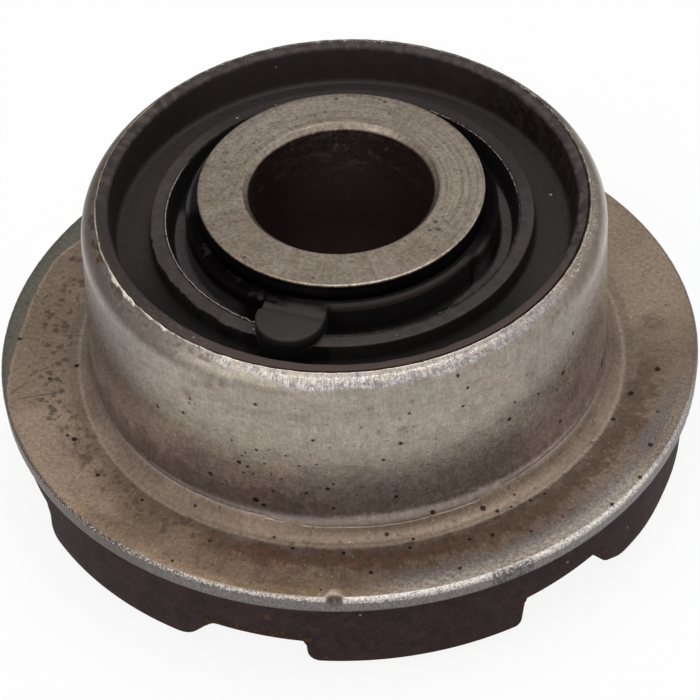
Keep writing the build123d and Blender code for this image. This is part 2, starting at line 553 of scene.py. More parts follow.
def rubber_bottom_rows(settings, outline, angles):
    """From the pad's top edge down its side, under the lugs and up through the recess."""
    outline_angles, outline_heights, normal_angles, normal_heights = outline
    columns = len(angles)
    full = np.ones(columns)
    pad = rubber_high.x - 0.20 * MM * arc_window(outline_angles, 80, 104, 7)
    pad_inner = rubber_high.x - settings.pad_ring
    coat = sleeve_high.x + settings.coat
    roof = rubber_low.z + settings.recess_depth
    over_gap = smooth_step(outline_heights, rubber_low.z + 1.0 * MM, rubber_low.z + 2.0 * MM)
    corner = (0.20 + 0.30 * over_gap * smooth_step(np.abs(normal_heights), 0.80, 0.99)) * MM
    rows = []

    def add(radius, height, turn):
        rows.append((full * radius, full * height, full * turn))

    inset_angles = outline_angles + normal_angles * corner
    inset_heights = outline_heights + normal_heights * corner
    edge = 0.10 * MM
    top = collar_low.z - edge
    add(pad - edge, collar_low.z, inset_angles)
    add(pad, top, inset_angles)
    side_steps = 6
    for step in range(1, side_steps + 1):
        add(pad, top + (inset_heights - top) * (step / side_steps), inset_angles)
    corner_steps = 5
    for step in range(1, corner_steps + 1):
        swing = math.pi / 2 * step / corner_steps
        left = corner * (1 - math.sin(swing))
        add(
            pad - corner * (1 - math.cos(swing)),
            outline_heights + normal_heights * left,
            outline_angles + normal_angles * left,
        )
    flat_steps = 4
    for step in range(1, flat_steps + 1):
        share = step / flat_steps
        add(pad - corner + (pad_inner + 2 * corner - pad) * share, outline_heights, outline_angles)
    for step in range(1, corner_steps + 1):
        swing = math.pi / 2 * step / corner_steps
        inset = corner * (1 - math.cos(swing))
        add(
            pad_inner + corner * (1 - math.sin(swing)),
            outline_heights + normal_heights * inset,
            outline_angles + normal_angles * inset,
        )
    wall_steps = 3
    fillet = 1.0 * MM
    for step in range(1, wall_steps + 1):
        share = step / wall_steps
        turn = inset_angles + (angles - inset_angles) * share * 0.5
        add(pad_inner, inset_heights + (roof - fillet - inset_heights) * share, turn)
    fillet_steps = 5
    for step in range(1, fillet_steps + 1):
        swing = math.pi / 2 * step / fillet_steps
        share = 0.5 + 0.5 * step / fillet_steps
        add(
            pad_inner - fillet * (1 - math.cos(swing)),
            roof - fillet * (1 - math.sin(swing)),
            inset_angles + (angles - inset_angles) * share,
        )
    recess = rounded_rows([
        (pad_inner - fillet, roof, 0, 1, 2),
        (coat, roof, fillet, 5, 4),
        (coat, settings.foot_drop, 0.3 * MM, 4, 3),
        (sleeve_high.x, settings.foot_drop),
        (sleeve_high.x, roof + 1 * MM),
        (pad_inner - fillet, roof + 1 * MM),
    ], columns)
    for radius, height in recess[1:-2]:
        add(radius, height, angles)
    return np.array(rows)


def make_rubber_skin(settings):
    """The round moulding with its lugs, in one closed skin."""
    outline = lug_outline(settings, rubber_high.x)
    columns = len(outline[0])
    start = outline[0][0]
    angles = start + np.arange(columns) / columns * TURN
    top = rubber_top_rows(settings, angles)
    bottom = rubber_bottom_rows(settings, outline, angles)
    radius = np.concatenate([top[:, 0], bottom[:, 0]])
    height = np.concatenate([top[:, 1], bottom[:, 1]])
    turn = np.concatenate([np.tile(angles, (len(top), 1)), bottom[:, 2]])
    return skin("rubber_moulding", radius, height, turn)


def make_tab(settings):
    """The flat tab with a half-round nose, as a rounded solid that enters the moulding."""
    top = sleeve_high.z - settings.shoulder_drop
    root = collar_high.z - settings.floor_drop - 0.4 * MM
    left = settings.tab_width / 2 + 0.27 * MM
    right = settings.tab_width / 2
    nose_radius = (left + right) / 2
    middle = (right - left) / 2
    tip = settings.ring_outer_radius + settings.tab_overhang
    nose = tip - nose_radius
    inner = sleeve_high.x + 0.15 * MM
    crease = sleeve_high.x + settings.coat + 0.72 * MM
    neck_left = left - 0.22 * MM
    shape = bmesh.new()
    outline = [(-neck_left, -inner), (-neck_left, -crease), (-left, -crease - 0.20 * MM)]
    nose_steps = 28
    for step in range(nose_steps + 1):
        swing = math.pi * step / nose_steps
        across = middle - nose_radius * math.cos(swing)
        outline.append((across, -nose - nose_radius * math.sin(swing)))
    outline.append((right * 0.98, -inner))
    corners = [shape.verts.new((x, y, top)) for x, y in outline]
    lid = shape.faces.new(corners)
    walls = bmesh.ops.extrude_face_region(shape, geom=[lid])
    sunk = [item for item in walls["geom"] if isinstance(item, bmesh.types.BMVert)]
    bmesh.ops.translate(shape, verts=sunk, vec=(0, 0, root - top))
    bmesh.ops.recalc_face_normals(shape, faces=shape.faces)
    edges = [edge for edge in shape.edges if all(abs(v.co.z - top) < 1e-7 for v in edge.verts)]
    bmesh.ops.bevel(
        shape, geom=edges, offset=0.16 * MM, segments=4, profile=0.5, affect="EDGES"
    )

    # A shallow crease crosses the top where the tab leaves the coat.
    half_crease, crease_slant = 0.20 * MM, 0.02
    for place in (crease - half_crease, crease, crease + half_crease):
        bmesh.ops.bisect_plane(
            shape, geom=shape.verts[:] + shape.edges[:] + shape.faces[:],
            plane_co=(0, -place, 0), plane_no=(crease_slant, 1, 0),
        )
    for vert in shape.verts:
        line = vert.co.y + crease + crease_slant * vert.co.x
        if abs(line) < 0.01 * MM and vert.co.z > top - 0.3 * MM:
            vert.co.z -= 0.06 * MM
    mesh = bpy.data.meshes.new("tab")
    shape.to_mesh(mesh)
    shape.free()
    return finished_object("tab", mesh)


def union(base, other):
    """Joins two closed pieces into one skin and drops the second."""
    cut = base.modifiers.new("union", "BOOLEAN")
    cut.operation = "UNION"
    cut.solver = "EXACT"
    cut.object = other
    graph = bpy.context.evaluated_depsgraph_get()
    joined = bpy.data.meshes.new_from_object(base.evaluated_get(graph))
    base.modifiers.clear()
    old = base.data
    name = base.name
    old_other = other.data
    bpy.data.objects.remove(other)
    bpy.data.objects.remove(base)
    bpy.data.meshes.remove(old)
    bpy.data.meshes.remove(old_other)
    joined.name = name
    return finished_object(name, joined)


# Shader nodes ---------------------------------------------------------------------------------

class Field:
    """A number, vector or colour of a graph; | keeps the larger of two numbers."""

    def __init__(self, graph, socket):
        self.graph = graph
        self.socket = socket

    def __add__(self, other):
        return self.graph.maths("ADD", self, other)

    def __sub__(self, other):
        return self.graph.maths("SUBTRACT", self, other)

    def __rsub__(self, other):
        return self.graph.maths("SUBTRACT", other, self)

    def __mul__(self, other):
        return self.graph.maths("MULTIPLY", self, other)

    def __truediv__(self, other):
        return self.graph.maths("DIVIDE", self, other)

    def __or__(self, other):
        return self.graph.maths("MAXIMUM", self, other)

    def ramp(self, low, high, to_low=0.0, to_high=1.0):
        """Maps low..high onto to_low..to_high smoothly and holds the ends."""
        inputs = dict(enumerate((self, low, high, to_low, to_high)))
        return self.graph.field("ShaderNodeMapRange", inputs, interpolation_type="SMOOTHSTEP")

    def band(self, low, high, fade):
        """1 where this number lies between two limits, fading to 0 outside them."""
        return self.ramp(low - fade, low) * self.ramp(high, high + fade, 1.0, 0.0)

    def tint(self, share, strength, over):
        """Lays a colour over this one where a mask is, at a strength."""
        return self.graph.mix(share * strength, self, over)

    def shade(self, factor):
        """Multiplies this colour by a number that changes over the surface."""
        return self.graph.scale(self, factor)

    def noise(self, scale, detail=2.0, roughness=0.5, distortion=0.0):
        """Noise from 0 to 1 at this vector."""
        inputs = {"Vector": self, "Scale": scale, "Detail": detail, "Roughness": roughness}
        return self.graph.field("ShaderNodeTexNoise", {**inputs, "Distortion": distortion})


class Graph:
    """Adds nodes to a tree in order, each placed right of the last."""

    def __init__(self, tree):
        self.tree = tree
        self.count = 0

    def node(self, kind, inputs=None, **values):
        """A node of a kind; inputs are fed by name or number, values set its properties."""
        made = self.tree.nodes.new(kind)
        made.location = (220 * self.count, -60 * (self.count % 5))
        self.count += 1
        for name, value in values.items():
            setattr(made, name, value)
        for place, value in (inputs or {}).items():
            self.link(value, made.inputs[place])
        return made

    def field(self, kind, inputs=None, output=0, **values):
        """A new node's output, to go on with."""
        return Field(self, self.node(kind, inputs, **values).outputs[output])

    def link(self, source, target):
        """Joins an output to an input, or sets the input to a plain value."""
        source = getattr(source, "socket", source)
        if isinstance(source, bpy.types.NodeSocket):
            self.tree.links.new(source, target)
        else:
            target.default_value = source

    def maths(self, operation, *values):
        """One maths step on numbers or fields."""
        return self.field("ShaderNodeMath", dict(enumerate(values)), operation=operation)

    def vector_maths(self, operation, *values, output=0):
        """One maths step on vectors."""
        inputs = dict(enumerate(values))
        return self.field("ShaderNodeVectorMath", inputs, output, operation=operation)

    def scale(self, vector, factor):
        """A vector or colour times a number."""
        return self.field("ShaderNodeVectorMath", {0: vector, "Scale": factor}, operation="SCALE")

    def vector(self, x, y, z):
        """A vector from three numbers or fields."""
        return self.field("ShaderNodeCombineXYZ", {0: x, 1: y, 2: z})

    def mix(self, share, first, second):
        """Mixes two colours by a share."""
        under, over = (
            value if isinstance(value, Field) else (*value, 1) for value in (first, second)
        )
        return self.field("ShaderNodeMix", {0: share, 6: under, 7: over}, 2, data_type="RGBA")


def new_group(name, **inputs):
    """An empty shader group: its graph and its inputs. None as a default makes a vector."""
    tree = bpy.data.node_groups.new(name, "ShaderNodeTree")
    for socket, default in inputs.items():
        kind = "NodeSocketVector" if default is None else "NodeSocketFloat"
        made = tree.interface.new_socket(name=socket, in_out="INPUT", socket_type=kind)
        if default is not None:
            made.default_value = default
    graph = Graph(tree)
    given = graph.node("NodeGroupInput").outputs
    return graph, {socket: Field(graph, given[socket]) for socket in inputs}


def close_group(graph, outputs):
    """Gives a group its named outputs and returns its tree."""
    end = graph.node("NodeGroupOutput")
    for name, field in outputs.items():
        kind = "NodeSocketVector" if field.socket.type == "VECTOR" else "NodeSocketFloat"
        graph.tree.interface.new_socket(name=name, in_out="OUTPUT", socket_type=kind)
        graph.link(field, end.inputs[name])
    return graph.tree


def turned_place_group():
    """Where a point lies round the bush, in millimetres: radius, height, angle and grain."""
    graph, _ = new_group("Turned place")
    place = graph.scale(graph.field("ShaderNodeTexCoord", output="Object"), 1 / MM)
    parts = graph.node("ShaderNodeSeparateXYZ", {0: place})
    x, y, z = (Field(graph, part) for part in parts.outputs)
    radius = graph.maths("SQRT", x * x + y * y)
    unit_x, unit_y = x / (radius | 0.001), y / (radius | 0.001)
    return close_group(graph, {
        "Radius": radius,
        "Height": z,
        "Angle": graph.maths("DEGREES", graph.maths("ARCTAN2", x, y * -1.0)),
        "Place": place,
        "Upright grain": graph.vector(unit_x * 20.0, unit_y * 20.0, z * 0.07),
        "Radial grain": graph.vector(unit_x * 24.0, unit_y * 24.0, radius * 0.12),
    })


def arc_group():
    """A mask for one part of the turn, its centre and half width in degrees from the tab."""
    graph, given = new_group("Arc", Angle=0.0, Centre=0.0, Half=20.0, Fade=8.0)
    away = graph.maths("WRAP", given["Angle"] - given["Centre"], 180.0, -180.0)
    away = graph.maths("ABSOLUTE", away)
    limit = given["Half"] + given["Fade"]
    return close_group(graph, {"Mask": away.ramp(given["Half"], limit, 1.0, 0.0)})


def grain_group():
    """Speckle from fine to broad, each from 0 to 1 about 0.5."""
    graph, given = new_group("Grain", Place=None)
    return close_group(graph, {
        "Fine": given["Place"].noise(7.5, 2.0, 0.6),
        "Speckle": given["Place"].noise(3.1, 4.0, 0.72),
        "Medium": given["Place"].noise(1.15, 3.0, 0.6, 0.3),
        "Broad": given["Place"].noise(0.33, 3.0, 0.55, 0.5),
    })


def pits_group():
    """Scattered pits of uneven size: a mask over a share of the cells."""
    graph, given = new_group("Pits", Place=None, Scale=1.0, Size=0.1, Share=0.3)
    inputs = {"Vector": given["Place"], "Scale": given["Scale"]}
    cells = graph.node("ShaderNodeTexVoronoi", inputs, feature="F1")
    chosen = graph.node("ShaderNodeSeparateColor", {0: cells.outputs["Color"]})
    picked = graph.maths("LESS_THAN", chosen.outputs[0], given["Share"])
    size = given["Size"] * (Field(graph, chosen.outputs[1]) * 1.1 + 0.35)
    edge = Field(graph, cells.outputs["Distance"]) / size
    return close_group(graph, {"Mask": edge.ramp(0.6, 1.15, 1.0, 0.0) * picked})


def patches_group():
    """Soft uneven patches: noise at a scale, pushed between two limits."""
    graph, given = new_group("Patches", Place=None, Scale=0.2, Low=0.4, High=0.6)
    noise = graph.scale(given["Place"], given["Scale"]).noise(1.0, 4.0, 0.6, 0.4)
    return close_group(graph, {"Mask": noise.ramp(given["Low"], given["High"])})


def spots_group(name, spots, core):
    """Single marks: each is (angle in degrees from the tab, radius, height, size) in mm.

    Core is the share of the size that is fully dark; the rest fades out.
    """
    graph, given = new_group(name, Place=None)
    mask = 0.0
    for *place, size in spots:
        away = graph.vector_maths("DISTANCE", given["Place"], around(*place), output="Value")
        mask = away.ramp(size * core, size, 1.0, 0.0) | mask
    return close_group(graph, {"Mask": mask})


def group_fields(graph, tree, inputs):
    """Places a group in a graph, feeds its named inputs and gives its named outputs."""
    made = graph.node("ShaderNodeGroup", node_tree=tree)
    for name, value in inputs.items():
        graph.link(value, made.inputs[name])
    return {socket.name: Field(graph, socket) for socket in made.outputs}


def empty_graph(owner):
    """The emptied node tree of a material or a world, as a graph."""
    owner.use_nodes = True
    owner.node_tree.nodes.clear()
    return Graph(owner.node_tree)


def new_material(name):
    """An empty material with its graph and its Principled shader."""
    material = bpy.data.materials.new(name)
    graph = empty_graph(material)
    shader = graph.node("ShaderNodeBsdfPrincipled")
    graph.node("ShaderNodeOutputMaterial", {0: shader.outputs[0]})
    return material, graph, shader


def bump(graph, height, strength, distance):
    """A bump from a height field, its distance in metres."""
    inputs = {"Strength": strength, "Distance": distance, "Height": height}
    return graph.field("ShaderNodeBump", inputs)


# Materials ------------------------------------------------------------------------------------

# Marks in the steel: angle in degrees from the tab, radius, height and size in millimetres.
WALL_PITS = (
    (-18.0, 20.3, 19.8, 0.19), (-20.1, 20.3, 17.9, 0.20), (-2.1, 20.3, 21.5, 0.20),
    (9.8, 20.3, 18.5, 0.17), (-2.6, 20.3, 16.7, 0.18), (-6.9, 20.3, 14.9, 0.24),
    (-4.9, 20.3, 14.7, 0.17), (-3.7, 20.3, 14.0, 0.14), (-6.0, 20.3, 13.9, 0.12),
    (-14.1, 20.3, 12.6, 0.24), (-3.6, 20.3, 11.3, 0.34), (-1.8, 20.3, 10.9, 0.20),
    (7.8, 20.3, 12.8, 0.19), (12.4, 20.3, 13.4, 0.21), (13.6, 20.3, 14.0, 0.14),
    (13.4, 20.3, 11.4, 0.20), (2.6, 20.3, 14.1, 0.14), (41.4, 20.1, 22.9, 0.19),
    (43.4, 20.3, 21.5, 0.18), (30.3, 20.3, 20.6, 0.17), (42.2, 20.3, 19.8, 0.16),
    (24.5, 20.3, 16.2, 0.18), (53.7, 20.3, 16.2, 0.24), (62.2, 20.3, 16.8, 0.19),
    (70.6, 20.3, 16.7, 0.28), (55.2, 20.3, 17.6, 0.16), (74.7, 20.3, 19.7, 0.24),
    (26.8, 20.3, 12.1, 0.20), (69.4, 20.3, 11.9, 0.24), (92.0, 20.3, 15.5, 0.26),
    (92.4, 20.4, 10.9, 0.50), (34.3, 20.6, 9.9, 0.24), (-8.2, 20.3, 17.0, 0.13),
    (-5.2, 20.3, 16.1, 0.12), (-1.0, 20.3, 15.4, 0.13), (3.9, 20.3, 16.6, 0.12),
    (6.6, 20.3, 15.7, 0.13), (10.4, 20.3, 16.0, 0.12), (0.6, 20.3, 12.6, 0.14),
)
FLANGE_PITS = (
    (-77.0, 26.1, 9.0, 0.22), (-69.1, 21.5, 9.0, 0.26), (-48.7, 23.4, 9.0, 0.28),
    (-50.2, 23.7, 9.0, 0.20), (-66.2, 23.7, 9.0, 0.18), (-37.9, 23.7, 9.0, 0.22),
    (15.4, 22.7, 9.0, 0.20), (1.4, 21.7, 9.1, 0.16), (78.8, 26.1, 9.0, 0.26),
    (71.4, 27.1, 9.0, 0.26), (63.8, 27.1, 9.0, 0.24), (29.1, 22.0, 9.0, 0.18),
    (24.1, 21.3, 9.2, 0.24), (47.2, 21.9, 9.1, 0.21), (44.9, 21.2, 9.2, 0.32),
    (52.4, 21.3, 9.2, 0.19), (43.4, 23.8, 9.0, 0.22), (54.2, 22.4, 9.0, 0.16),
    (82.1, 22.4, 9.0, 0.24), (90.1, 22.8, 9.0, 0.28), (97.4, 24.4, 9.0, 0.30),
)
STAINS = (
    (-32.1, 20.3, 11.9, 1.60), (-56.0, 20.3, 13.9, 1.10), (-48.5, 20.3, 12.9, 1.20),
    (-13.0, 20.3, 22.2, 0.75), (-9.5, 20.3, 22.7, 0.65), (-16.5, 20.3, 21.7, 0.60),
    (-18.5, 20.3, 20.2, 0.90), (22.0, 20.3, 21.7, 0.55), (27.0, 20.3, 21.7, 0.55),
    (31.0, 20.3, 21.8, 0.45), (24.0, 20.3, 19.1, 0.50), (29.0, 20.3, 19.1, 0.55),
    (60.0, 20.3, 19.6, 0.90), (75.0, 20.3, 13.5, 1.50), (83.0, 24.2, 9.0, 1.20),
    (97.0, 23.8, 9.0, 1.50), (110.0, 24.0, 9.0, 1.60), (89.0, 22.7, 9.0, 0.70),
    (-42.0, 23.6, 9.0, 1.00),
)
SLEEVE_PITS = (
    (72.0, 8.9, 25.5, 0.24), (76.0, 8.3, 25.5, 0.26), (69.0, 8.4, 25.5, 0.18),
    (78.5, 9.0, 25.5, 0.15), (67.0, 9.3, 25.5, 0.13), (81.0, 8.5, 25.5, 0.14),
    (-161.6, 10.35, 25.5, 0.20), (177.2, 10.4, 25.5, 0.20), (172.4, 9.2, 25.5, 0.18),
    (-27.4, 10.5, 25.5, 0.20), (-93.8, 9.5, 25.5, 0.17), (-84.0, 9.2, 25.5, 0.18),
    (-100.0, 9.8, 25.5, 0.14), (-112.0, 8.6, 25.5, 0.15),
    (60.0, 10.2, 25.5, 0.17), (22.0, 8.4, 25.5, 0.18), (5.0, 10.3, 25.5, 0.15),
)
# Straight scratches across the flange: angle in degrees, slant in degrees a millimetre,
# inner and outer radius and half width in millimetres.
SCRATCHES = (
    (-62.1, 0.0, 22.9, 26.3, 0.065),
    (-64.8, 1.6, 25.5, 26.8, 0.080),
)
# Light bits on the rubber: angle in degrees from the tab, radius, height and size in mm.
RUBBER_CHIPS = (
    (-11.3, 14.2, 22.8, 0.11), (118.0, 16.4, 21.2, 0.16), (33.0, 14.2, 22.8, 0.08),
    (-68.0, 17.9, 23.0, 0.15), (-128.0, 14.2, 22.8, 0.13), (-6.0, 11.9, 22.2, 0.15),
    (96.0, 12.2, 23.2, 0.16), (-20.0, 18.4, 24.2, 0.14), (55.0, 26.4, 5.2, 0.15),
    (18.0, 26.4, 6.1, 0.13), (70.0, 26.4, 3.6, 0.12), (150.0, 17.6, 22.6, 0.16),
)
RUST_SPECKS = ((2.6, 26.4, 5.3, 0.42), (-52.0, 26.4, 5.6, 0.30), (12.0, 26.4, 1.4, 0.22))


class Surface:
    """A material being painted: its graph, its shader and masks placed round the bush."""

    def __init__(self, name, groups):
        self.material, self.graph, self.shader = new_material(name)
        self.groups = groups
        place = group_fields(self.graph, groups["place"], {})
        self.where = place["Place"]
        self.radius = place["Radius"]
        self.height = place["Height"]
        self.turn = place["Angle"]
        self.upright_grain = place["Upright grain"]
        self.radial_grain = place["Radial grain"]
        grain = group_fields(self.graph, groups["grain"], {"Place": self.where})
        self.fine, self.speckle = grain["Fine"], grain["Speckle"]
        self.medium, self.broad = grain["Medium"], grain["Broad"]

    def mask(self, group, **inputs):
        """The mask of one of the shared groups."""
        return group_fields(self.graph, self.groups[group], inputs)["Mask"]

    def arc(self, centre, half, fade):
        """A part of the turn, in degrees from the tab."""
        return self.mask("arc", Angle=self.turn, Centre=centre, Half=half, Fade=fade)

    def patches(self, scale, low, high):
        """Soft uneven patches."""
        return self.mask("patches", Place=self.where, Scale=scale, Low=low, High=high)

    def pits(self, place, scale, size, share):
        """Scattered pits."""
        return self.mask("pits", Place=place, Scale=scale, Size=size, Share=share)

    def spots(self, name, place):
        """A named set of single marks."""
        return self.mask(name, Place=place)

    def above(self, level, fade=0.1):
        """Above a height in millimetres."""
        return self.height.ramp(level - fade / 2, level + fade / 2)

    def below(self, level, fade=0.1):
        """Below a height in millimetres."""
        return self.height.ramp(level + fade / 2, level - fade / 2)

    def outside(self, radius, fade=0.1):
        """Further out than a radius in millimetres."""
        return self.radius.ramp(radius - fade / 2, radius + fade / 2)

    def inside(self, radius, fade=0.1):
        """Nearer the axis than a radius in millimetres."""
        return self.radius.ramp(radius + fade / 2, radius - fade / 2)

    def speckled(self, contrast):
        """A factor about 1 that varies with the speckle and the fine grain."""
        speckle = self.speckle.ramp(0.28, 0.72, 1 - contrast, 1 + contrast)
        return speckle * self.fine.ramp(0.30, 0.70, 0.88, 1.10)

    def jittered_place(self, size):
        """The place pushed about by the grain, so that spots come out ragged."""
        graph = self.graph
        noise = graph.vector(self.fine, self.speckle, self.medium)
        centred = graph.vector_maths("SUBTRACT", noise, (0.5, 0.5, 0.5))
        return graph.vector_maths("MULTIPLY_ADD", centred, (size, size, size), self.where)


def scratch_mask(surface):
    """Where the straight scratches cross the flange."""
    graph, radius = surface.graph, surface.radius
    mask = 0.0
    for degrees, slant, inner, outer, half_width in SCRATCHES:
        path = radius * slant + (degrees - slant * (inner + outer) / 2)
        away = graph.maths("ABSOLUTE", surface.turn - path)
        across = graph.maths("RADIANS", away) * radius
        line = across.ramp(half_width * 0.4, half_width * 1.5, 1.0, 0.0)
        mask = line * radius.band(inner, outer, 0.3) | mask
    return mask


def wall_steel(surface, settings, flange_top):
    """The wall: grey steel in patches, darker low down, with stains; painted shade darkens the
    sides, the top and the band above the crease, and painted light brightens the sides low down and
    the right edge.
    """
    graph, arc = surface.graph, surface.arc
    height, medium = surface.height, surface.medium
    brushing = surface.upright_grain.noise(9.0, 3.0, 0.6)
    greenish = [c * k for c, k in zip(settings.steel, (0.97, 1.01, 0.98))]
    steel = graph.mix(surface.broad.ramp(0.42, 0.58), settings.steel, greenish)
    steel = steel.tint(surface.patches(0.55, 0.5, 0.75), 0.35, (0.235, 0.18, 0.15))
    # Painted shade: the wall is darker at both sides, a little purple-brown, more on the left.
    left_side_shade = arc(-68.0, 24.0, 24.0) * height.band(15.0, 21.5, 3.0)
    right_side_shade = arc(82.0, 16.0, 20.0) * surface.above(15.0, 4.0)
    steel = steel.tint(left_side_shade, 0.64, (0.14, 0.104, 0.106))
    steel = steel.tint(right_side_shade, 0.24, (0.15, 0.11, 0.105))
    smear_place = graph.vector(surface.turn * 0.055, height * 0.75, 0.0)
    smears = smear_place.noise(1.0, 4.0, 0.62, 0.6).ramp(0.5, 0.66)
    steel = steel.tint(smears, 0.3, (0.205, 0.15, 0.132))
    low_place = height + medium.ramp(0.3, 0.7, -0.8, 0.8)
    low_wall = low_place.ramp(flange_top + 7.0, flange_top + 4.4)
    steel = steel.tint(low_wall, 0.55, (0.34, 0.298, 0.31))
    foot = low_place.ramp(flange_top + 2.6, flange_top + 1.2)
    steel = steel.tint(foot, 0.3, (0.175, 0.108, 0.082))
    # Painted shade over the fillet's reflection, in the band just above the crease in front and on
    # the left.
    shade_above_crease = low_place.band(flange_top + 1.6, flange_top + 3.2, 0.9) * arc(-26.0, 28.0, 14.0)
    steel = steel.tint(shade_above_crease, 0.38, (0.13, 0.104, 0.097))
    stains = surface.spots("stains", surface.where) * medium.ramp(0.35, 0.6)
    steel = steel.tint(stains, 0.62, (0.15, 0.098, 0.08))
    # Speckle, grain and brushing vary the steel; the height factors are painted light and shade,
    # brighter low down and darker near the top.
    shade = (
        surface.speckled(0.15) * medium.ramp(0.35, 0.65, 0.9, 1.08)
        * brushing.ramp(0.3, 0.7, 0.91, 1.07) * height.ramp(12.0, 15.0, 1.16, 1.0)
        * height.ramp(18.5, 21.5, 1.0, 0.88)
    )
    # Painted light: the wall is brightened low on both sides and at the right edge.
    low_sides = (arc(-44.0, 14.0, 12.0) | arc(80.0, 16.0, 12.0)) * surface.below(15.5, 2.0)
    lighter = low_sides | arc(112.0, 14.0, 10.0) * 0.8
    return steel.shade(shade * (lighter * 0.45 + 1.0)), brushing, stains


def rim_steel(surface, steel, sparkle, rim, rim_inner):
    """The rim: bruised bright in front, filmed elsewhere, with a pale ragged burr and a painted
    highlight of glints along its inner edge.
    """
    graph, arc = surface.graph, surface.arc
    height, turn, medium, above = surface.height, surface.turn, surface.medium, surface.above
    swell = surface.broad.ramp(0.3, 0.7, -0.15, 0.15)
    lower_edge = turn.ramp(-24.0, 14.0, rim - 0.2, rim - 0.92) + swell
    lower_edge = lower_edge + turn.ramp(46.0, 80.0, 0.0, 0.35)
    rise = height - lower_edge
    front = arc(28.0, 42.0, 16.0)
    bruised = rise.ramp(-0.1, 0.14) * front
    scratch_place = graph.vector(height * 0.35 + turn * 0.8, height * 0.7, 2.0)
    scratches = scratch_place.noise(3.0, 3.0, 0.75)
    blotches = surface.where.noise(2.4, 3.0, 0.8, 0.8)
    bruise = scratches * 0.45 + blotches * 0.55
    bright = graph.mix(bruise.ramp(0.4, 0.62), (0.235, 0.212, 0.205), (0.66, 0.6, 0.56))
    warm = above(rim - 0.45, 0.3) * medium.ramp(0.4, 0.6)
    bright = bright.tint(warm, 0.35, (0.62, 0.52, 0.4))
    dull = arc(84.0, 20.0, 24.0) * surface.speckle.ramp(0.35, 0.65, 0.5, 1.0)
    bright = bright.tint(dull, 0.5, (0.17, 0.145, 0.15))
    steel = graph.mix(bruised, steel, bright)
    at_back = arc(172.0, 62.0, 22.0)
    elsewhere = (1.0 - front) * (arc(110.0, 16.0, 14.0) * -0.8 + 1.0)
    film = height.ramp(rim - 1.9, rim - 0.7) * elsewhere
    steel = steel.tint(film, 0.42, (0.15, 0.115, 0.098))
    steel = steel.tint(film * at_back, 0.62, (0.06, 0.05, 0.048))
    smudges = (
        arc(-64.0, 46.0, 14.0) * medium.ramp(0.44, 0.6)
        * height.band(rim - 0.5, rim - 0.22, 0.12)
    )
    steel = steel.tint(smudges, 0.72, (0.085, 0.046, 0.034))
    lowest = at_back.ramp(0.0, 1.0, 0.32, 0.48)
    in_places = at_back * -0.45 + medium.ramp(0.36, 0.56)
    worn = above(rim - 0.12, 0.08) * sparkle.ramp(lowest, 0.64) * (in_places | 0.04)
    steel = graph.mix(worn, steel, (0.66, 0.59, 0.5))
    # Painted highlight: glints along the rim's inner edge on the front left, a pale line of
    # changing width, kept bright by less metal.
    glint_wave = graph.vector(turn * 0.16, 0.0, 4.0).noise(1.0, 2.0, 0.75)
    glint_width = glint_wave.ramp(0.44, 0.64, 0.07, 0.27)
    glint_place = surface.radius - glint_width + sparkle.ramp(0.3, 0.7, -0.045, 0.045)
    glints = (
        arc(-24.0, 21.0, 12.0) * above(rim - 0.3, 0.16)
        * glint_place.ramp(rim_inner + 0.12, rim_inner - 0.02)
    )
    steel = graph.mix(glints, steel, (0.96, 0.88, 0.76))
    worn = worn | glints
    rubbed_left = arc(-98.0, 22.0, 10.0) * above(rim - 1.3, 0.6) * sparkle.ramp(0.36, 0.6)
    steel = steel.tint(rubbed_left, 0.55, (0.27, 0.2, 0.15))
    rubbed_right = arc(104.0, 28.0, 12.0) * above(rim - 0.55, 0.3) * sparkle.ramp(0.42, 0.58)
    steel = steel.tint(rubbed_right, 0.7, (0.42, 0.32, 0.225))
    flecks = (
        (arc(108.0, 40.0, 12.0) | arc(-150.0, 24.0, 12.0)) * above(rim - 0.5, 0.2)
        * (medium * 0.5 + sparkle).ramp(0.83, 0.9)
    )
    steel = graph.mix(flecks, steel, (0.82, 0.77, 0.7))
    return steel, film, bruised | worn, worn


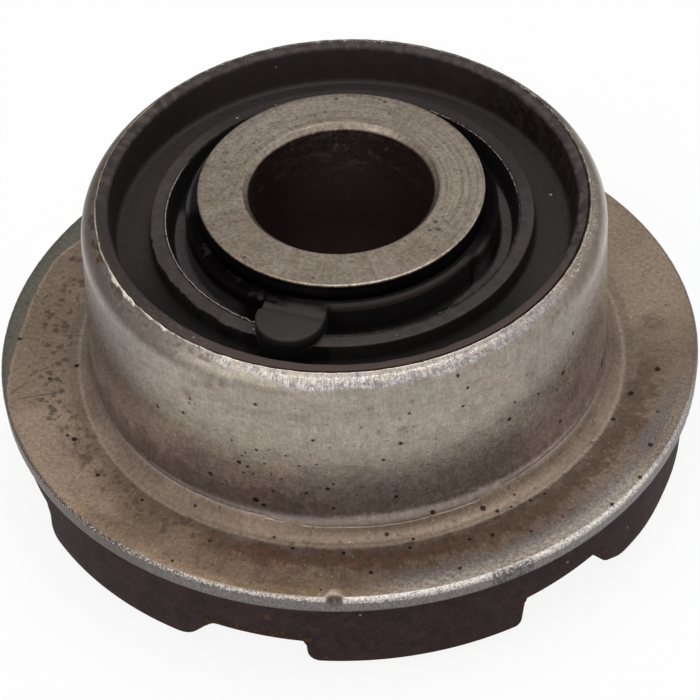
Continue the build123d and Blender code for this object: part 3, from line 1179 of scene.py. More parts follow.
def flange_film(surface, settings, sparkle, stains):
    """The flange's brown film of oil, its rust, a blue-grey rub, a rest of paint, and painted
    highlights and shade at the crease and near the edge.
    """
    graph, arc = surface.graph, surface.arc
    radius, turn, medium = surface.radius, surface.turn, surface.medium
    radial = surface.radial_grain.noise(6.0, 3.0, 0.6)
    film = graph.mix(surface.patches(0.16, 0.4, 0.6), settings.patina, (0.232, 0.166, 0.116))
    film = film.tint(surface.patches(0.5, 0.4, 0.75), 0.35, (0.118, 0.078, 0.054))
    film = film.tint(arc(-80.0, 34.0, 20.0), 0.22, (0.245, 0.19, 0.14))
    film = film.tint(arc(136.0, 24.0, 12.0), 0.55, (0.3, 0.232, 0.168))
    film = film.shade(arc(-36.0, 30.0, 14.0) * 0.32 + 1.0)
    film = film.tint(arc(30.0, 42.0, 16.0), 0.28, (0.104, 0.062, 0.036))
    film = film.tint(arc(97.0, 7.0, 10.0), 0.44, (0.11, 0.074, 0.05))
    film = film.tint(radial.ramp(0.45, 0.7), 0.2, (0.27, 0.22, 0.175))
    ragged = medium.ramp(0.3, 0.7, -0.7, 0.7)
    streaked = radial.ramp(0.25, 0.75, -0.25, 0.25)
    rust_place = radius + streaked + ragged
    rust = (
        rust_place.band(22.9, 23.9, 0.9) * arc(46.0, 44.0, 20.0)
        * surface.speckle.ramp(0.36, 0.58, 0.3, 1.0)
    )
    film = film.tint(rust, 0.8, (0.066, 0.032, 0.017))
    red = rust_place.band(23.1, 24.3, 0.5) * medium.ramp(0.5, 0.62) * arc(16.0, 22.0, 12.0)
    film = film.tint(red, 0.62, (0.14, 0.046, 0.024))
    rubbed_place = ragged * 0.8 + (radius + streaked)
    rubbed = rubbed_place.ramp(24.2, 26.2) * arc(58.0, 28.0, 16.0)
    golden = radius.band(26.5, 26.95, 0.25) * arc(26.0, 60.0, 16.0) * sparkle.ramp(0.4, 0.6)
    blue_grey = graph.mix(sparkle.ramp(0.36, 0.66), (0.082, 0.073, 0.075), (0.185, 0.168, 0.166))
    film = film.tint(rubbed, 0.66, blue_grey)
    film = film.tint(golden, 0.5, (0.34, 0.24, 0.13))
    # Painted highlight: a pale glow near the flange's edge on the right front.
    glow = (
        surface.outside(26.0, 1.4) * arc(48.0, 18.0, 14.0)
        * surface.speckle.ramp(0.34, 0.62, 0.4, 1.0)
    )
    film = film.tint(glow, 0.5, (0.43, 0.385, 0.345))
    paint_edge = turn.ramp(-112.0, -97.0, 24.7, 26.05) + turn.ramp(-84.0, -55.0, 0.0, 1.4)
    paint_edge = paint_edge + turn.ramp(-150.0, -130.0, 3.5, 0.0)
    paint_place = ragged * 0.08 + radius - paint_edge
    paint = paint_place.ramp(-0.1, 0.1) * arc(-100.0, 45.0, 15.0)
    film = film.tint(paint, 0.88, (0.1, 0.098, 0.076))
    paint_line = paint_place.band(-0.18, -0.06, 0.1) * arc(-100.0, 40.0, 10.0)
    film = film.tint(paint_line, 0.35, (0.36, 0.3, 0.23))
    film = film.tint(stains, 0.6, (0.085, 0.05, 0.036))

    # The fillet ends in a crease: a painted reflection lightens the fillet, a pale painted
    # highlight runs along the crease, and a grey line of painted shade lies outside it.
    away = graph.maths("ABSOLUTE", turn - CREASE_MIDDLE)
    crease = away.ramp(*CREASE_BEND, CREASE_RADIUS[0] / MM, CREASE_RADIUS[1] / MM)
    past_crease = radius - crease
    crease_highlight = past_crease.band(-0.22, -0.04, 0.12) * medium.ramp(0.25, 0.55, 0.35, 1.0)
    film = film.tint(past_crease.band(-1.1, 0.0, 0.2), 0.35, (0.25, 0.195, 0.15))
    film = film.tint(crease_highlight, 0.36, (0.4, 0.335, 0.27))
    film = film.tint(past_crease.band(0.1, 0.55, 0.3), 0.34, (0.112, 0.088, 0.078))
    clusters = (
        arc(-80.0, 24.0, 12.0) * rust_place.band(22.7, 24.4, 0.6)
        | arc(12.0, 80.0, 20.0) * rust_place.band(22.6, 23.9, 0.5) * 0.7
    )
    return film.shade(surface.speckled(0.25)), clusters, rubbed


def sheared_edge(surface, colour_under, sparkle, flange_top, edge):
    """The flange's edge: streaked grey, worn bright on top, dark at the foot and the dent, with
    painted shade on the left and painted light on the right.
    """
    graph, arc = surface.graph, surface.arc
    height, turn = surface.height, surface.turn
    side = surface.outside(edge - 0.22, 0.24)
    stripe_place = graph.vector(turn * 0.9, height * 0.6, 0.0)
    stripes = stripe_place.noise(3.2, 3.0, 0.7)
    sheared = graph.mix(stripes.ramp(0.3, 0.7), (0.098, 0.085, 0.082), (0.225, 0.202, 0.195))
    sheared = sheared.shade(surface.speckle.ramp(0.3, 0.7, 0.78, 1.2))
    # Painted shade darkens the edge towards the left; painted light brightens it a little on the
    # right.
    sheared = sheared.shade(turn.ramp(-74.0, 10.0, 0.42, 1.0))
    sheared = sheared.shade(turn.ramp(22.0, 52.0, 1.0, 1.12))
    sheared = sheared.tint(arc(-74.0, 46.0, 20.0), 0.8, (0.085, 0.06, 0.046))
    colour_out = graph.mix(side, colour_under, sheared)
    lip_place = height + sparkle.ramp(0.3, 0.7, -0.12, 0.12) + arc(44.0, 22.0, 16.0) * 0.22
    lip = (
        surface.outside(edge - 0.26, 0.22) * lip_place.ramp(flange_top - 0.34, flange_top - 0.16)
        * sparkle.ramp(turn.ramp(-26.0, 10.0, 0.52, 0.34), 0.6)
    )
    colour_out = colour_out.tint(lip * arc(26.0, 54.0, 24.0), 0.95, (0.66, 0.61, 0.56))
    crest = lip * arc(44.0, 26.0, 10.0) * surface.above(flange_top - 0.22, 0.12)
    colour_out = colour_out.tint(crest, 0.85, (0.92, 0.87, 0.82))
    colour_out = colour_out.tint(lip * arc(-80.0, 44.0, 18.0), 0.45, (0.44, 0.35, 0.26))
    foot = side * surface.below(flange_top - 1.32, 0.2)
    colour_out = colour_out.tint(foot, 0.7, (0.035, 0.028, 0.026))
    scar_streaks = graph.vector(turn * 0.5, height, 0.0).noise(3.5, 2.0, 0.6)
    scar = side * arc(SCAR_ANGLE, SCAR_HALF_WIDTH, 1.0) * scar_streaks.ramp(0.42, 0.54)
    colour_out = colour_out.tint(scar, 0.85, (0.045, 0.038, 0.036))
    dent = around(DENT_ANGLE, collar_high.x / MM, flange_top - 0.15)
    near = graph.vector_maths("DISTANCE", surface.where, dent, output="Value")
    dent_rim = near.band(0.66, 0.8, 0.08) * surface.above(flange_top - 0.25, 0.2)
    colour_out = colour_out.tint(dent_rim, 0.42, (0.52, 0.47, 0.43))
    dent_streaks = stripes.ramp(0.42, 0.58, 0.35, 1.0)
    colour_out = colour_out.tint(near.ramp(0.72, 0.58) * dent_streaks, 0.85, (0.052, 0.043, 0.04))
    return colour_out


def drawn_steel(settings, groups):
    """Worn drawn steel: a bruised rim, a brushed wall, a brown film and a sheared edge."""
    surface = Surface("drawn_steel", groups)
    graph, arc, shader = surface.graph, surface.arc, surface.shader
    where, height, pits = surface.where, surface.height, surface.pits
    flange_top = (collar_low.z + settings.sheet) / MM
    rim = collar_high.z / MM
    wall = settings.radius / MM
    edge = collar_high.x / MM
    sparkle = where.noise(6.0, 3.0, 0.8)
    steel, brushing, stains = wall_steel(surface, settings, flange_top)
    rim_inner = (settings.radius - settings.sheet) / MM
    steel, lead_film, rough_rim, worn = rim_steel(surface, steel, sparkle, rim, rim_inner)
    film, clusters, rubbed = flange_film(surface, settings, sparkle, stains)
    on_flange = (
        surface.radius.ramp(wall - 0.05, wall + 0.55)
        * height.ramp(flange_top + 2.2, flange_top + 1.2)
    )
    colour_out = graph.mix(on_flange, steel, film)
    # Painted shade over the fillet's reflection, from the front round to the left.
    fillet_shade = (
        surface.outside(wall + 0.02, 0.1) * height.band(flange_top + 1.5, flange_top + 2.8, 0.5)
        * arc(-38.0, 48.0, 12.0)
    )
    colour_out = colour_out.tint(fillet_shade, 0.62, (0.095, 0.075, 0.066))

    # Pits, press lines, scratches and chips.
    ragged_place = surface.jittered_place(0.35)
    smeared_place = surface.jittered_place(0.9)
    dense = pits(smeared_place, 1.7, 0.5, 0.85) * clusters * on_flange
    colour_out = colour_out.tint(dense, 0.78, (0.056, 0.038, 0.024))
    pitted = (on_flange * 0.8 | arc(20.0, 44.0, 22.0) | 0.12) * surface.below(rim - 2.2, 1.0)
    tiny = pits(smeared_place, 2.2, 0.24, 0.26) * 0.62
    marks = (pits(ragged_place, 0.95, 0.15, 0.17) | tiny) * pitted
    for name in ("wall_pits", "flange_pits"):
        marks = marks | surface.spots(name, ragged_place)
    line_place = height + surface.broad.ramp(0.3, 0.7, -0.04, 0.04)
    near_wall = surface.inside(wall + 1.5, 0.4)
    for start, end, line_height, _, depth in PRESS_LINES:
        middle = flange_top + line_height / MM
        window = arc((start + end) / 2, (end - start) / 2, 1.0)
        line = (
            line_place.band(middle - 0.02, middle + 0.02, 0.04) * window * near_wall
            * surface.medium.ramp(0.25, 0.55, 0.45, 1.0)
        )
        if depth > 0:
            marks = marks | line * 0.6
        else:
            # A ledge gets a pale painted highlight along it and a dark painted shadow just above
            # it.
            colour_out = colour_out.tint(line, 0.6, (0.52, 0.44, 0.36))
            shadow_above_ledge = line_place.band(middle + 0.07, middle + 0.1, 0.04) * window * near_wall
            colour_out = colour_out.tint(shadow_above_ledge, 0.55, (0.085, 0.052, 0.036))
    marks = marks | scratch_mask(surface) * 0.58
    colour_out = colour_out.tint(marks, 0.93, (0.02, 0.011, 0.008))
    chips = pits(where, 1.3, 0.07, 0.14) * 0.8
    flecks = pits(where, 3.4, 0.2, 0.3) * on_flange * arc(46.0, 34.0, 16.0)
    colour_out = graph.mix(chips, colour_out, (0.55, 0.5, 0.44))
    colour_out = colour_out.tint(flecks, 0.5, (0.46, 0.38, 0.27))
    colour_out = sheared_edge(surface, colour_out, sparkle, flange_top, edge)
    graph.link(colour_out, shader.inputs["Base Color"])

    rough = surface.speckle * 0.2 + 0.17 + on_flange * 0.15 + lead_film * 0.2
    graph.link(rough, shader.inputs["Roughness"])
    # Less metal keeps the worn burr and the painted glints bright.
    metal = worn * -0.6 + (on_flange * -0.38 + 0.9 | marks)
    graph.link(metal, shader.inputs["Metallic"])
    relief = brushing * 0.45 + surface.fine * 0.35 + surface.speckle * 0.9
    relief = relief + sparkle * (rough_rim | rubbed * 0.7) * 3.2
    graph.link(bump(graph, relief, 0.6, 0.022 * MM), shader.inputs["Normal"])
    return surface.material


def turned_steel(settings, groups):
    """Turned end faces with fine rings and pits, a side painted dark as shade, and a brown bore
    with an oil film.
    """
    surface = Surface("turned_steel", groups)
    graph, arc, shader = surface.graph, surface.arc, surface.shader
    radius, height = surface.radius, surface.height
    outside, speckle = surface.outside, surface.speckle
    top = sleeve_high.z / MM
    bottom = sleeve_low.z / MM
    bore = settings.bore_radius / MM
    outer = sleeve_high.x / MM

    # End faces: rings left by the tool, clearest on the right and at the back left.
    slow_turn = surface.turn * 0.01
    fine_place = graph.vector(radius * 11.0, slow_turn, 0.0)
    wide_place = graph.vector(radius * 3.4, slow_turn, 7.0)
    rings = fine_place.noise(1.0, 2.0, 0.7)
    wide_rings = wide_place.noise(1.0, 2.0, 0.6)
    clear = (arc(114.0, 22.0, 26.0) | arc(-142.0, 30.0, 30.0)) * 0.8 + 0.2
    greenish = (0.27, 0.22, 0.17)
    steel = graph.mix(surface.broad.ramp(0.42, 0.58), settings.steel, greenish)
    steel = steel.tint(surface.patches(0.7, 0.45, 0.7), 0.45, (0.185, 0.138, 0.104))
    smears = surface.radial_grain.noise(1.3, 4.0, 0.7, 0.8).ramp(0.52, 0.66)
    steel = steel.tint(smears, 0.42, (0.15, 0.108, 0.082))
    dark_rings = rings.ramp(0.5, 0.66) * clear
    pale_rings = wide_rings.ramp(0.6, 0.48) * clear
    steel = steel.tint(dark_rings, 0.55, (0.115, 0.09, 0.074))
    steel = steel.tint(pale_rings, 0.38, (0.42, 0.37, 0.31))
    shade = surface.speckled(0.25) * surface.medium.ramp(0.35, 0.65, 0.9, 1.08)
    steel = steel.shade(shade)
    ragged_place = surface.jittered_place(0.55)
    pits = surface.pits(ragged_place, 1.6, 0.14, 0.34) * 0.75
    tiny = (
        surface.pits(ragged_place, 3.0, 0.3, 0.42)
        * (arc(-84.0, 34.0, 14.0) | arc(72.0, 18.0, 12.0)) * 0.6
    )
    marks = pits | surface.spots("sleeve_pits", ragged_place) | tiny
    steel = steel.tint(marks, 0.8, (0.045, 0.03, 0.022))
    rim_line = outside(outer - 0.08, 0.07) * speckle.ramp(0.42, 0.58)
    steel = steel.tint(rim_line, 0.6, (0.5, 0.45, 0.38))

    # The side is painted near black as shade under the rubber's edge, with a painted blue-grey
    # sheen across it in front; the bore is brown and darker further down, with grey smears high up
    # that also stand as painted highlights.
    side = (
        outside(outer - 0.05, 0.06) * surface.below(top - 0.18, 0.12)
        * surface.above(bottom + 0.22, 0.16)
    )
    rusted_line = outside(outer - 0.12, 0.1) * arc(-70.0, 60.0, 20.0)
    steel = steel.tint(rusted_line, 0.45, (0.15, 0.08, 0.052))
    colour_out = steel.tint(side, 0.98, (0.013, 0.011, 0.013))
    sheen = side * height.band(top - 0.95, top - 0.55, 0.25) * arc(10.0, 80.0, 40.0)
    colour_out = colour_out.tint(sheen, 0.8, (0.055, 0.051, 0.058))
    in_bore = surface.inside(bore + 0.08, 0.08)
    depth = height.ramp(top - 1.0, top - 10.0)
    film = graph.mix(depth, settings.bore, (0.034, 0.015, 0.012))
    smear_place = graph.vector(surface.turn * 0.05, height * 0.9, 3.0)
    smears = (
        smear_place.noise(1.6, 3.0, 0.6, 0.4).ramp(0.5, 0.68)
        * height.band(top - 3.6, top - 0.7, 1.2)
    )
    film = film.tint(smears, 0.55, (0.2, 0.17, 0.16))
    bore_flecks = (
        speckle.ramp(0.56, 0.66) * surface.medium.ramp(0.46, 0.56)
        * height.band(top - 2.4, top - 0.6, 0.5) * arc(-166.0, 40.0, 14.0)
    )
    film = film.tint(bore_flecks, 0.7, (0.34, 0.3, 0.28))
    film = film.shade(speckle.ramp(0.3, 0.7, 0.75, 1.25))
    colour_out = graph.mix(in_bore, colour_out, film)
    graph.link(colour_out, shader.inputs["Base Color"])
    rough = speckle * 0.22 + 0.26 + in_bore * depth * 0.25
    graph.link(rough, shader.inputs["Roughness"])
    graph.link(side * 0.1 + 0.9 + in_bore * -0.08, shader.inputs["Metallic"])
    relief = surface.fine * 0.35 + rings * clear * 1.0 + speckle * 0.7
    graph.link(bump(graph, relief, 0.55, 0.018 * MM), shader.inputs["Normal"])
    return surface.material


def moulded_rubber(settings, groups):
    """Black rubber with a brownish bloom, dust on its tops that doubles as painted light, a pale
    flash lip painted as a highlight, and a neck wet with oil and painted black as shade.
    """
    surface = Surface("moulded_rubber", groups)
    graph, arc, shader = surface.graph, surface.arc, surface.shader
    where, radius, height = surface.where, surface.radius, surface.height
    above, below, outside, inside = surface.above, surface.below, surface.outside, surface.inside
    speckle, medium = surface.speckle, surface.medium
    rim = collar_high.z / MM
    bottom = rubber_low.z / MM
    pad = rubber_high.x / MM
    ring_top = rim - settings.ring_drop / MM
    ring_outer = settings.ring_outer_radius / MM
    ring_inner = ring_outer - settings.ring_width / MM
    sleeve = sleeve_high.x / MM
    coat = sleeve + settings.coat / MM
    shoulder = (sleeve_high.z - settings.shoulder_drop) / MM
    lining_top = collar_high.x / MM - FLANGE_REACH - settings.lining / MM
    black = (0.0035, 0.0025, 0.0026)

    # Painted shade: the groove, the floor in front and the tab's nose below its top are painted
    # black as deep shade.
    cloudy = surface.patches(0.25, 0.4, 0.62) * 0.45
    base = graph.mix(cloudy, settings.rubber, (0.031, 0.018, 0.019))
    base = base.tint(above(15.0, 8.0), 0.9, (0.0225, 0.018, 0.0178))
    groove = (
        height.ramp(shoulder - 0.45, shoulder - 1.05)
        * radius.band(coat - 0.2, ring_inner + 0.1, 0.15) * above(7.5, 3.0)
    )
    front_floor_shade = (
        height.ramp(ring_top - 0.25, ring_top - 0.9) * outside(ring_outer + 0.05, 0.1)
        * arc(10.0, 48.0, 34.0) * above(12.0, 4.0)
    )
    on_ring = above(ring_top - 0.06, 0.08) * radius.band(ring_inner, ring_outer + 0.3, 0.1)
    ring_face = on_ring * below(ring_top + 0.1, 0.1)
    nose = (
        arc(0.0, 12.0, 2.5) * outside(12.6, 0.4) * below(shoulder - 0.5, 0.3)
        * above(12.0, 4.0) * (1.0 - ring_face)
    )
    shaded = groove | nose | front_floor_shade * 0.8
    # Painted light: the lit walls beside the coat and spots on the shoulder are painted lighter,
    # and the painted shade is kept off them.
    lit = (
        radius.band(coat - 0.15, coat + 0.9, 0.1) * height.ramp(shoulder - 0.7, shoulder - 2.0)
        * (arc(-54.0, 28.0, 8.0) | arc(94.0, 30.0, 8.0))
        | radius.band(sleeve + 0.25, coat + 0.05, 0.12) * above(shoulder - 1.2, 0.3)
        * (arc(-70.0, 9.0, 6.0) | arc(102.0, 7.0, 8.0))
    )
    shaded = shaded * (1.0 - lit)
    base = base.tint(lit, 0.85, (0.058, 0.051, 0.052))
    base = base.tint(shaded, 0.92, black)
    base = base.shade(speckle.ramp(0.3, 0.7, 0.75, 1.3))
    mottle = where.noise(0.9, 2.0, 0.75, 0.6).ramp(0.32, 0.68, 0.92, 1.6)
    on_pad = outside(pad - 1.2, 0.4)
    base = graph.mix(on_pad, base, base.shade(mottle))

    # Dust lies on what faces up and doubles as painted light, strongest in front; the lining's top
    # is brown from the steel beside it.
    in_front = arc(0.0, 104.0, 24.0)
    dust_and_painted_light = (
        on_ring * medium.ramp(0.35, 0.65, 0.5, 1.0) * below(ring_top + 0.1) * (in_front * 0.9 + 0.1)
    )
    base = base.tint(dust_and_painted_light, 0.26, settings.dust)
    on_tab = arc(0.0, 17.0, 2.0) * outside(11.9, 0.4) * above(shoulder - 0.25)
    base = base.tint(on_tab, 0.45, (0.036, 0.031, 0.03))
    on_lining = outside(lining_top - 0.3, 0.5) * above(rim - 0.3, 0.3)
    base = base.tint(on_lining * arc(24.0, 40.0, 30.0), 0.58, (0.088, 0.062, 0.054))
    beside_steel = outside(lining_top + 0.62, 0.2) * above(rim - 0.2) * arc(4.0, 62.0, 20.0)
    base = base.tint(beside_steel, 0.35, (0.105, 0.054, 0.034))
    sparkle = where.noise(4.2, 3.0, 0.75)
    gold_flecks = on_lining * sparkle.ramp(0.56, 0.66) * arc(-34.0, 14.0, 8.0)
    base = base.tint(gold_flecks, 0.6, (0.24, 0.14, 0.06))
    golden = on_lining * arc(-98.0, 16.0, 12.0) * medium.ramp(0.4, 0.66)
    base = base.tint(golden, 0.45, (0.16, 0.116, 0.088))
    base = base.tint(on_lining * arc(180.0, 60.0, 25.0), 0.35, (0.066, 0.052, 0.051))
    base = base.tint(on_lining * arc(-70.0, 30.0, 26.0), 0.4, (0.04, 0.036, 0.03))
    rusty = on_lining * arc(172.0, 80.0, 25.0) * medium.ramp(0.44, 0.58)
    base = base.tint(rusty, 0.58, (0.088, 0.068, 0.066))
    lining_wall = outside(lining_top - 0.9, 0.4) * height.band(rim - 2.6, rim - 0.5, 0.5)
    dark_right = lining_wall * arc(143.0, 38.0, 18.0) * medium.ramp(0.58, 0.44)
    base = base.tint(dark_right, 0.68, (0.009, 0.003, 0.003))
    base = base.tint(lining_wall * arc(-164.0, 30.0, 20.0), 0.45, (0.05, 0.037, 0.036))

    # The flash lip along the ring's inner edge is painted pale as a highlight line, most of it on
    # the left.
    whole = arc(-48.0, 44.0, 12.0) * sparkle.ramp(0.34, 0.54)
    broken = arc(142.0, 22.0, 12.0) * sparkle.ramp(0.44, 0.56)
    scraps = arc(70.0, 50.0, 15.0) * sparkle.ramp(0.58, 0.66) * 0.6
    lip_share = whole | broken | scraps
    lip = (
        radius.band(ring_inner - 0.02, ring_inner + 0.035, 0.02)
        * height.band(ring_top + 0.03, ring_top + 0.25, 0.03) * lip_share
    )
    base = base.tint(lip, 0.9, (0.44, 0.37, 0.31))
    chips = surface.pits(where, 0.8, 0.055, 0.1) | surface.spots("rubber_chips", where)
    base = base.tint(chips, 0.75, (0.33, 0.3, 0.28))
    rust_specks = surface.spots("rust_specks", surface.jittered_place(0.5))
    base = base.tint(rust_specks, 0.7, (0.11, 0.038, 0.02))

    # The gaps' upper edges are painted dark as shade under the lip, and crusted with reddish
    # flecks.
    crust_and_shade = (
        outside(pad - 0.9, 0.3) * (arc(0.5, 8.6, 1.0) | arc(55.0, 9.0, 1.0))
        * height.band(bottom + 1.8, bottom + 2.85, 0.25)
    )
    base = base.tint(crust_and_shade, 0.75, (0.016, 0.007, 0.004))
    base = base.tint(crust_and_shade * sparkle.ramp(0.5, 0.62), 0.6, (0.15, 0.065, 0.03))

    # The coat's end is painted black as shade beside the sleeve; left of the tab and at the back
    # right it is black with oil and painted shade, wet in blobs. A thin painted highlight runs
    # along the shoulder on the front right, and past it the coat is painted black as shade.
    shoulder_highlight = (
        radius.band(coat - 0.66, coat - 0.36, 0.1) * above(shoulder - 0.55, 0.1)
        * arc(42.0, 28.0, 6.0)
    )
    coat_end_shade = inside(coat - 0.3, 0.3) * above(shoulder - 2.6, 0.6)
    base = base.tint(coat_end_shade, 0.92, black)
    oil_and_shade = (
        arc(-38.0, 30.0, 8.0) * inside(coat + 0.3, 0.4)
        * height.ramp(shoulder - 2.2, shoulder - 1.2)
        | arc(112.0, 22.0, 12.0) * inside(coat + 0.15, 0.3) * above(11.0, 2.0)
    )
    shade_past_line = (
        radius.band(coat - 0.26, coat + 0.3, 0.08) * above(shoulder - 2.4, 1.0)
        * arc(42.0, 30.0, 6.0) * 0.62
    )
    base = base.tint(oil_and_shade | shade_past_line, 0.9, black)
    base = base.tint(shoulder_highlight, 0.8, (0.046, 0.037, 0.036))
    graph.link(base, shader.inputs["Base Color"])
    shader.inputs["Specular IOR Level"].default_value = 0.16
    blobs = where.noise(0.9, 2.0, 0.5, 0.5)
    wet = oil_and_shade * blobs.ramp(0.58, 0.72)
    dull = shaded | (coat_end_shade | oil_and_shade) | outside(24.0, 1.0) * 0.6
    rough = speckle * 0.22 + 0.38 + dull * 0.42 + wet * -0.58
    # Metal with a near-black colour keeps the oiled and painted-shade parts black instead of
    # reflecting the white studio.
    oil_and_shade_metallic = (oil_and_shade | shade_past_line) * (1.0 - wet) * 0.86
    graph.link(oil_and_shade_metallic, shader.inputs["Metallic"])
    graph.link(rough, shader.inputs["Roughness"])
    relief = surface.fine * 0.4 + speckle * 0.8 + blobs * oil_and_shade * 9.0
    graph.link(bump(graph, relief, 0.45, 0.03 * MM), shader.inputs["Normal"])
    return surface.material


def towards(turn, lift):
    """A direction turned from -Y towards +X and lifted over the floor."""
    return (math.sin(turn) * math.cos(lift), -math.cos(turn) * math.cos(lift), math.sin(lift))


def studio_light(graph, direction, settings):
    """How bright the studio is in a direction: white above and in front, dim low behind."""
    unit = graph.vector_maths("NORMALIZE", direction)
    brightest = towards(settings.azimuth + settings.bright_turn, settings.bright_lift)
    facing = graph.vector_maths("DOT_PRODUCT", unit, brightest, output="Value")
    return facing.ramp(-0.4, 0.5, 0.16, 1.0)


def ray_kinds(graph):
    """1 for a ray from the camera, one off gloss and one through glass, each by itself."""
    path = graph.node("ShaderNodeLightPath").outputs
    kinds = ("Is Camera Ray", "Is Glossy Ray", "Is Transmission Ray")
    return [Field(graph, path[kind]) for kind in kinds]


def white_surface(name, settings):
    """A pale matt surface, white to the camera but for soft shadows, and dim far behind."""
    white = settings.white
    material = bpy.data.materials.new(name)
    graph = empty_graph(material)
    from_camera, from_gloss, through_glass = ray_kinds(graph)
    place = graph.field("ShaderNodeTexCoord", output="Object")
    far = graph.vector_maths("LENGTH", place, output="Value").ramp(0.05, 0.16)
    dimmed = (1.0 - studio_light(graph, place, settings)) * far * (1.0 - from_camera)
    paper = graph.mix(place.noise(60.0), white, [c * 0.995 for c in white])
    matt = graph.field("ShaderNodeBsdfPrincipled", {"Base Color": paper, "Roughness": 0.9})
    glow = graph.field("ShaderNodeEmission", {"Strength": 1.0 - dimmed})
    seen = from_camera | from_gloss | through_glass
    blend = graph.field("ShaderNodeMixShader", {0: seen * 0.9, 1: matt, 2: glow})
    graph.node("ShaderNodeOutputMaterial", {0: blend})
    return material


# Operators ------------------------------------------------------------------------------------

def shared_groups():
    """The shader groups, built once and found again by name."""
    builders = {
        "place": ("Turned place", turned_place_group, ()),
        "arc": ("Arc", arc_group, ()),
        "grain": ("Grain", grain_group, ()),
        "pits": ("Pits", pits_group, ()),
        "patches": ("Patches", patches_group, ()),
        "wall_pits": ("Wall pits", spots_group, ("Wall pits", WALL_PITS, 0.62)),
        "flange_pits": ("Flange pits", spots_group, ("Flange pits", FLANGE_PITS, 0.62)),
        "stains": ("Stains", spots_group, ("Stains", STAINS, 0.2)),
        "sleeve_pits": ("Sleeve pits", spots_group, ("Sleeve pits", SLEEVE_PITS, 0.5)),
        "rubber_chips": ("Rubber chips", spots_group, ("Rubber chips", RUBBER_CHIPS, 0.4)),
        "rust_specks": ("Rust specks", spots_group, ("Rust specks", RUST_SPECKS, 0.4)),
    }
    return {
        key: bpy.data.node_groups.get(name) or build(*values)
        for key, (name, build, values) in builders.items()
    }


class BUSH_OT_inner_sleeve(bpy.types.Operator):
    """Build the thick inner tube"""
    bl_idname = "bush.inner_sleeve"
    bl_label = "Inner sleeve"

    def execute(self, context):
        settings = context.scene.bush_sleeve
        angles = even_angles(720)
        rows = sleeve_rows(settings, len(angles))
        turn = np.tile(angles, (len(rows), 1))
        piece = skin("sleeve_tube", rows[:, 0], rows[:, 1], turn)
        piece.data.materials.append(turned_steel(settings, shared_groups()))
        seat(piece, "inner_sleeve")
        return {"FINISHED"}


class BUSH_OT_collar(bpy.types.Operator):
    """Build the drawn collar and its flange"""
    bl_idname = "bush.collar"
    bl_label = "Outer collar"

    def execute(self, context):
        settings = context.scene.bush_collar
        fine_places = (
            (math.radians(DENT_ANGLE), math.radians(1.6), 4),
            (math.radians(SCAR_ANGLE), math.radians(SCAR_HALF_WIDTH + 1), 2),
        )
        angles = even_angles(720, fine_places)
        rows = collar_rows(settings, angles)
        rows = press_lines(rows, angles, settings)
        rows = edge_marks(rows, angles, settings)
        turn = np.tile(angles, (len(rows), 1))
        piece = skin("drawn_collar", rows[:, 0], rows[:, 1], turn)
        piece.data.materials.append(drawn_steel(settings, shared_groups()))
        seat(piece, "outer_sleeve")
        return {"FINISHED"}


class BUSH_OT_rubber(bpy.types.Operator):
    """Build the rubber moulding with its tab and lugs"""
    bl_idname = "bush.rubber"
    bl_label = "Rubber moulding"

    def execute(self, context):
        settings = context.scene.bush_rubber
        piece = union(make_rubber_skin(settings), make_tab(settings))
        piece.data.materials.clear()
        piece.data.materials.append(moulded_rubber(settings, shared_groups()))
        seat(piece, "rubber_body")
        return {"FINISHED"}


class BUSH_OT_stage(bpy.types.Operator):
    """Build the floor, the lamps and the camera"""
    bl_idname = "bush.stage"
    bl_label = "Stage"

    def execute(self, context):
        settings = context.scene.bush_stage
        add_floor(settings)
        add_world(settings)
        add_lamps()
        add_camera(context.scene, settings)
        context.scene.view_settings.view_transform = "Standard"
        return {"FINISHED"}


def add_floor(settings):
    """A wide floor that sweeps up into a backdrop on every side, like a bowl."""
    flat, sweep, tall = 0.9, 0.35, 0.5
    columns, sweep_steps = 96, 8
    rows = [(0.0, 0.0), (flat, 0.0)]
    for step in range(1, sweep_steps + 1):
        swing = math.pi / 2 * step / sweep_steps
        rows.append((flat + sweep * math.sin(swing), sweep * (1 - math.cos(swing))))
    rows.append((flat + sweep, sweep + tall))
    shape = bmesh.new()
    middle = shape.verts.new((0, 0, 0))
    rings = []
    for radius, height in rows[1:]:
        rings.append([
            shape.verts.new((
                radius * math.cos(TURN * step / columns),
                radius * math.sin(TURN * step / columns),
                height,
            )) for step in range(columns)
        ])
    for step in range(columns):
        following = (step + 1) % columns
        shape.faces.new((middle, rings[0][step], rings[0][following]))
        for inner, outer in zip(rings, rings[1:]):
            shape.faces.new((inner[step], outer[step], outer[following], inner[following]))
    for face in shape.faces:
        face.smooth = True
    mesh = bpy.data.meshes.new("floor")
    shape.to_mesh(mesh)
    shape.free()
    floor = bpy.data.objects.new("floor", mesh)
    bpy.context.scene.collection.objects.link(floor)
    floor.data.materials.append(white_surface("white_paper", settings))


def add_world(settings):
    """A pale sky, white to the camera; gloss sees it white in front and dimmer behind."""
    world = bpy.data.worlds.new("studio")
    graph = empty_graph(world)
    from_camera, from_gloss, through_glass = ray_kinds(graph)
    studio = studio_light(graph, graph.field("ShaderNodeTexCoord", output="Generated"), settings)
    strength = studio * ((from_gloss | through_glass) * 0.4 + 0.6)
    sky = graph.field("ShaderNodeBackground", {"Strength": strength | from_camera})
    graph.node("ShaderNodeOutputWorld", {0: sky})
    bpy.context.scene.world = world


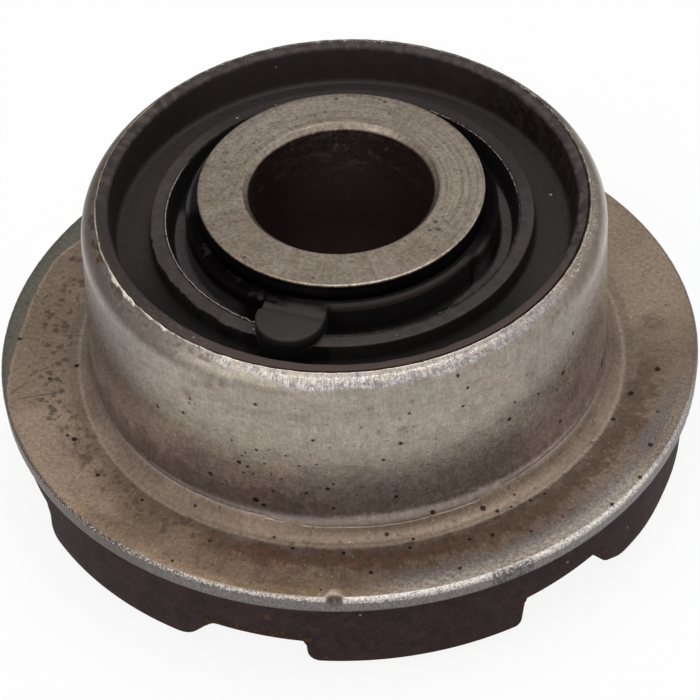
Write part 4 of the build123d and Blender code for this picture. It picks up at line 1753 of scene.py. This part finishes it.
def add_lamp(name, place, size, power, aim):
    """A square soft lamp at a place, aimed at a point."""
    lamp = bpy.data.lights.new(name, "AREA")
    lamp.shape = "SQUARE"
    lamp.size = size
    lamp.energy = power
    holder = bpy.data.objects.new(name, lamp)
    holder.location = place
    direction = Vector(aim) - Vector(place)
    holder.rotation_euler = direction.to_track_quat("-Z", "Y").to_euler()
    bpy.context.scene.collection.objects.link(holder)


def add_lamps():
    """A large soft lamp overhead and a weaker one from the front left."""
    aim = (0, 0, 0.015)
    add_lamp("overhead", (0.05, 0.10, 0.75), 0.55, 3.2, aim)
    add_lamp("front_left", (-0.25, -0.55, 0.50), 0.70, 1.1, aim)


def add_camera(scene, settings):
    """The camera, rolled a little, at its distance from the bush."""
    lens_width = 36.0
    focal_length = 221.6
    shift_right, shift_up = -0.06 * MM, -0.03 * MM
    turn, lift, roll = settings.azimuth, settings.elevation, settings.roll
    back = Vector(towards(turn, lift))
    right = Vector((math.cos(turn), math.sin(turn), 0))
    up = back.cross(right)
    rolled_right = right * math.cos(roll) - up * math.sin(roll)
    rolled_up = right * math.sin(roll) + up * math.cos(roll)
    camera = bpy.data.cameras.new("camera")
    camera.sensor_width = lens_width
    camera.lens = focal_length
    camera.clip_start = 0.01
    camera.clip_end = 20
    holder = bpy.data.objects.new("camera", camera)
    target = Vector((0, 0, settings.target_height))
    place = target + back * settings.distance - right * shift_right - up * shift_up
    axes = Matrix((rolled_right, rolled_up, back)).transposed()
    holder.matrix_world = Matrix.LocRotScale(place, axes.to_quaternion(), None)
    scene.collection.objects.link(holder)
    scene.camera = holder


# Panel and registration -----------------------------------------------------------------------

class BUSH_PT_panel(bpy.types.Panel):
    """Lists the bush's pieces and their sizes"""
    bl_idname = "BUSH_PT_panel"
    bl_label = "Suspension bush"
    bl_space_type = "VIEW_3D"
    bl_region_type = "UI"
    bl_category = "Bush"

    def draw(self, context):
        for operator, group_name, group in STEPS:
            self.layout.operator(operator.bl_idname)
            settings = getattr(context.scene, group_name)
            for name in group.__annotations__:
                self.layout.prop(settings, name)


STEPS = (
    (BUSH_OT_inner_sleeve, "bush_sleeve", SleeveSettings),
    (BUSH_OT_collar, "bush_collar", CollarSettings),
    (BUSH_OT_rubber, "bush_rubber", RubberSettings),
    (BUSH_OT_stage, "bush_stage", StageSettings),
)


def register():
    """Registers the settings, the operators and the panel."""
    for operator, group_name, group in STEPS:
        bpy.utils.register_class(group)
        bpy.utils.register_class(operator)
        setattr(bpy.types.Scene, group_name, bpy.props.PointerProperty(type=group))
    bpy.utils.register_class(BUSH_PT_panel)


def unregister():
    """Takes everything back out, in reverse."""
    bpy.utils.unregister_class(BUSH_PT_panel)
    for operator, group_name, group in reversed(STEPS):
        delattr(bpy.types.Scene, group_name)
        bpy.utils.unregister_class(operator)
        bpy.utils.unregister_class(group)


def main():
    """Builds every piece and the stage."""
    register()
    bpy.ops.bush.inner_sleeve()
    bpy.ops.bush.collar()
    bpy.ops.bush.rubber()
    bpy.ops.bush.stage()


if __name__ == "__main__":
    main()
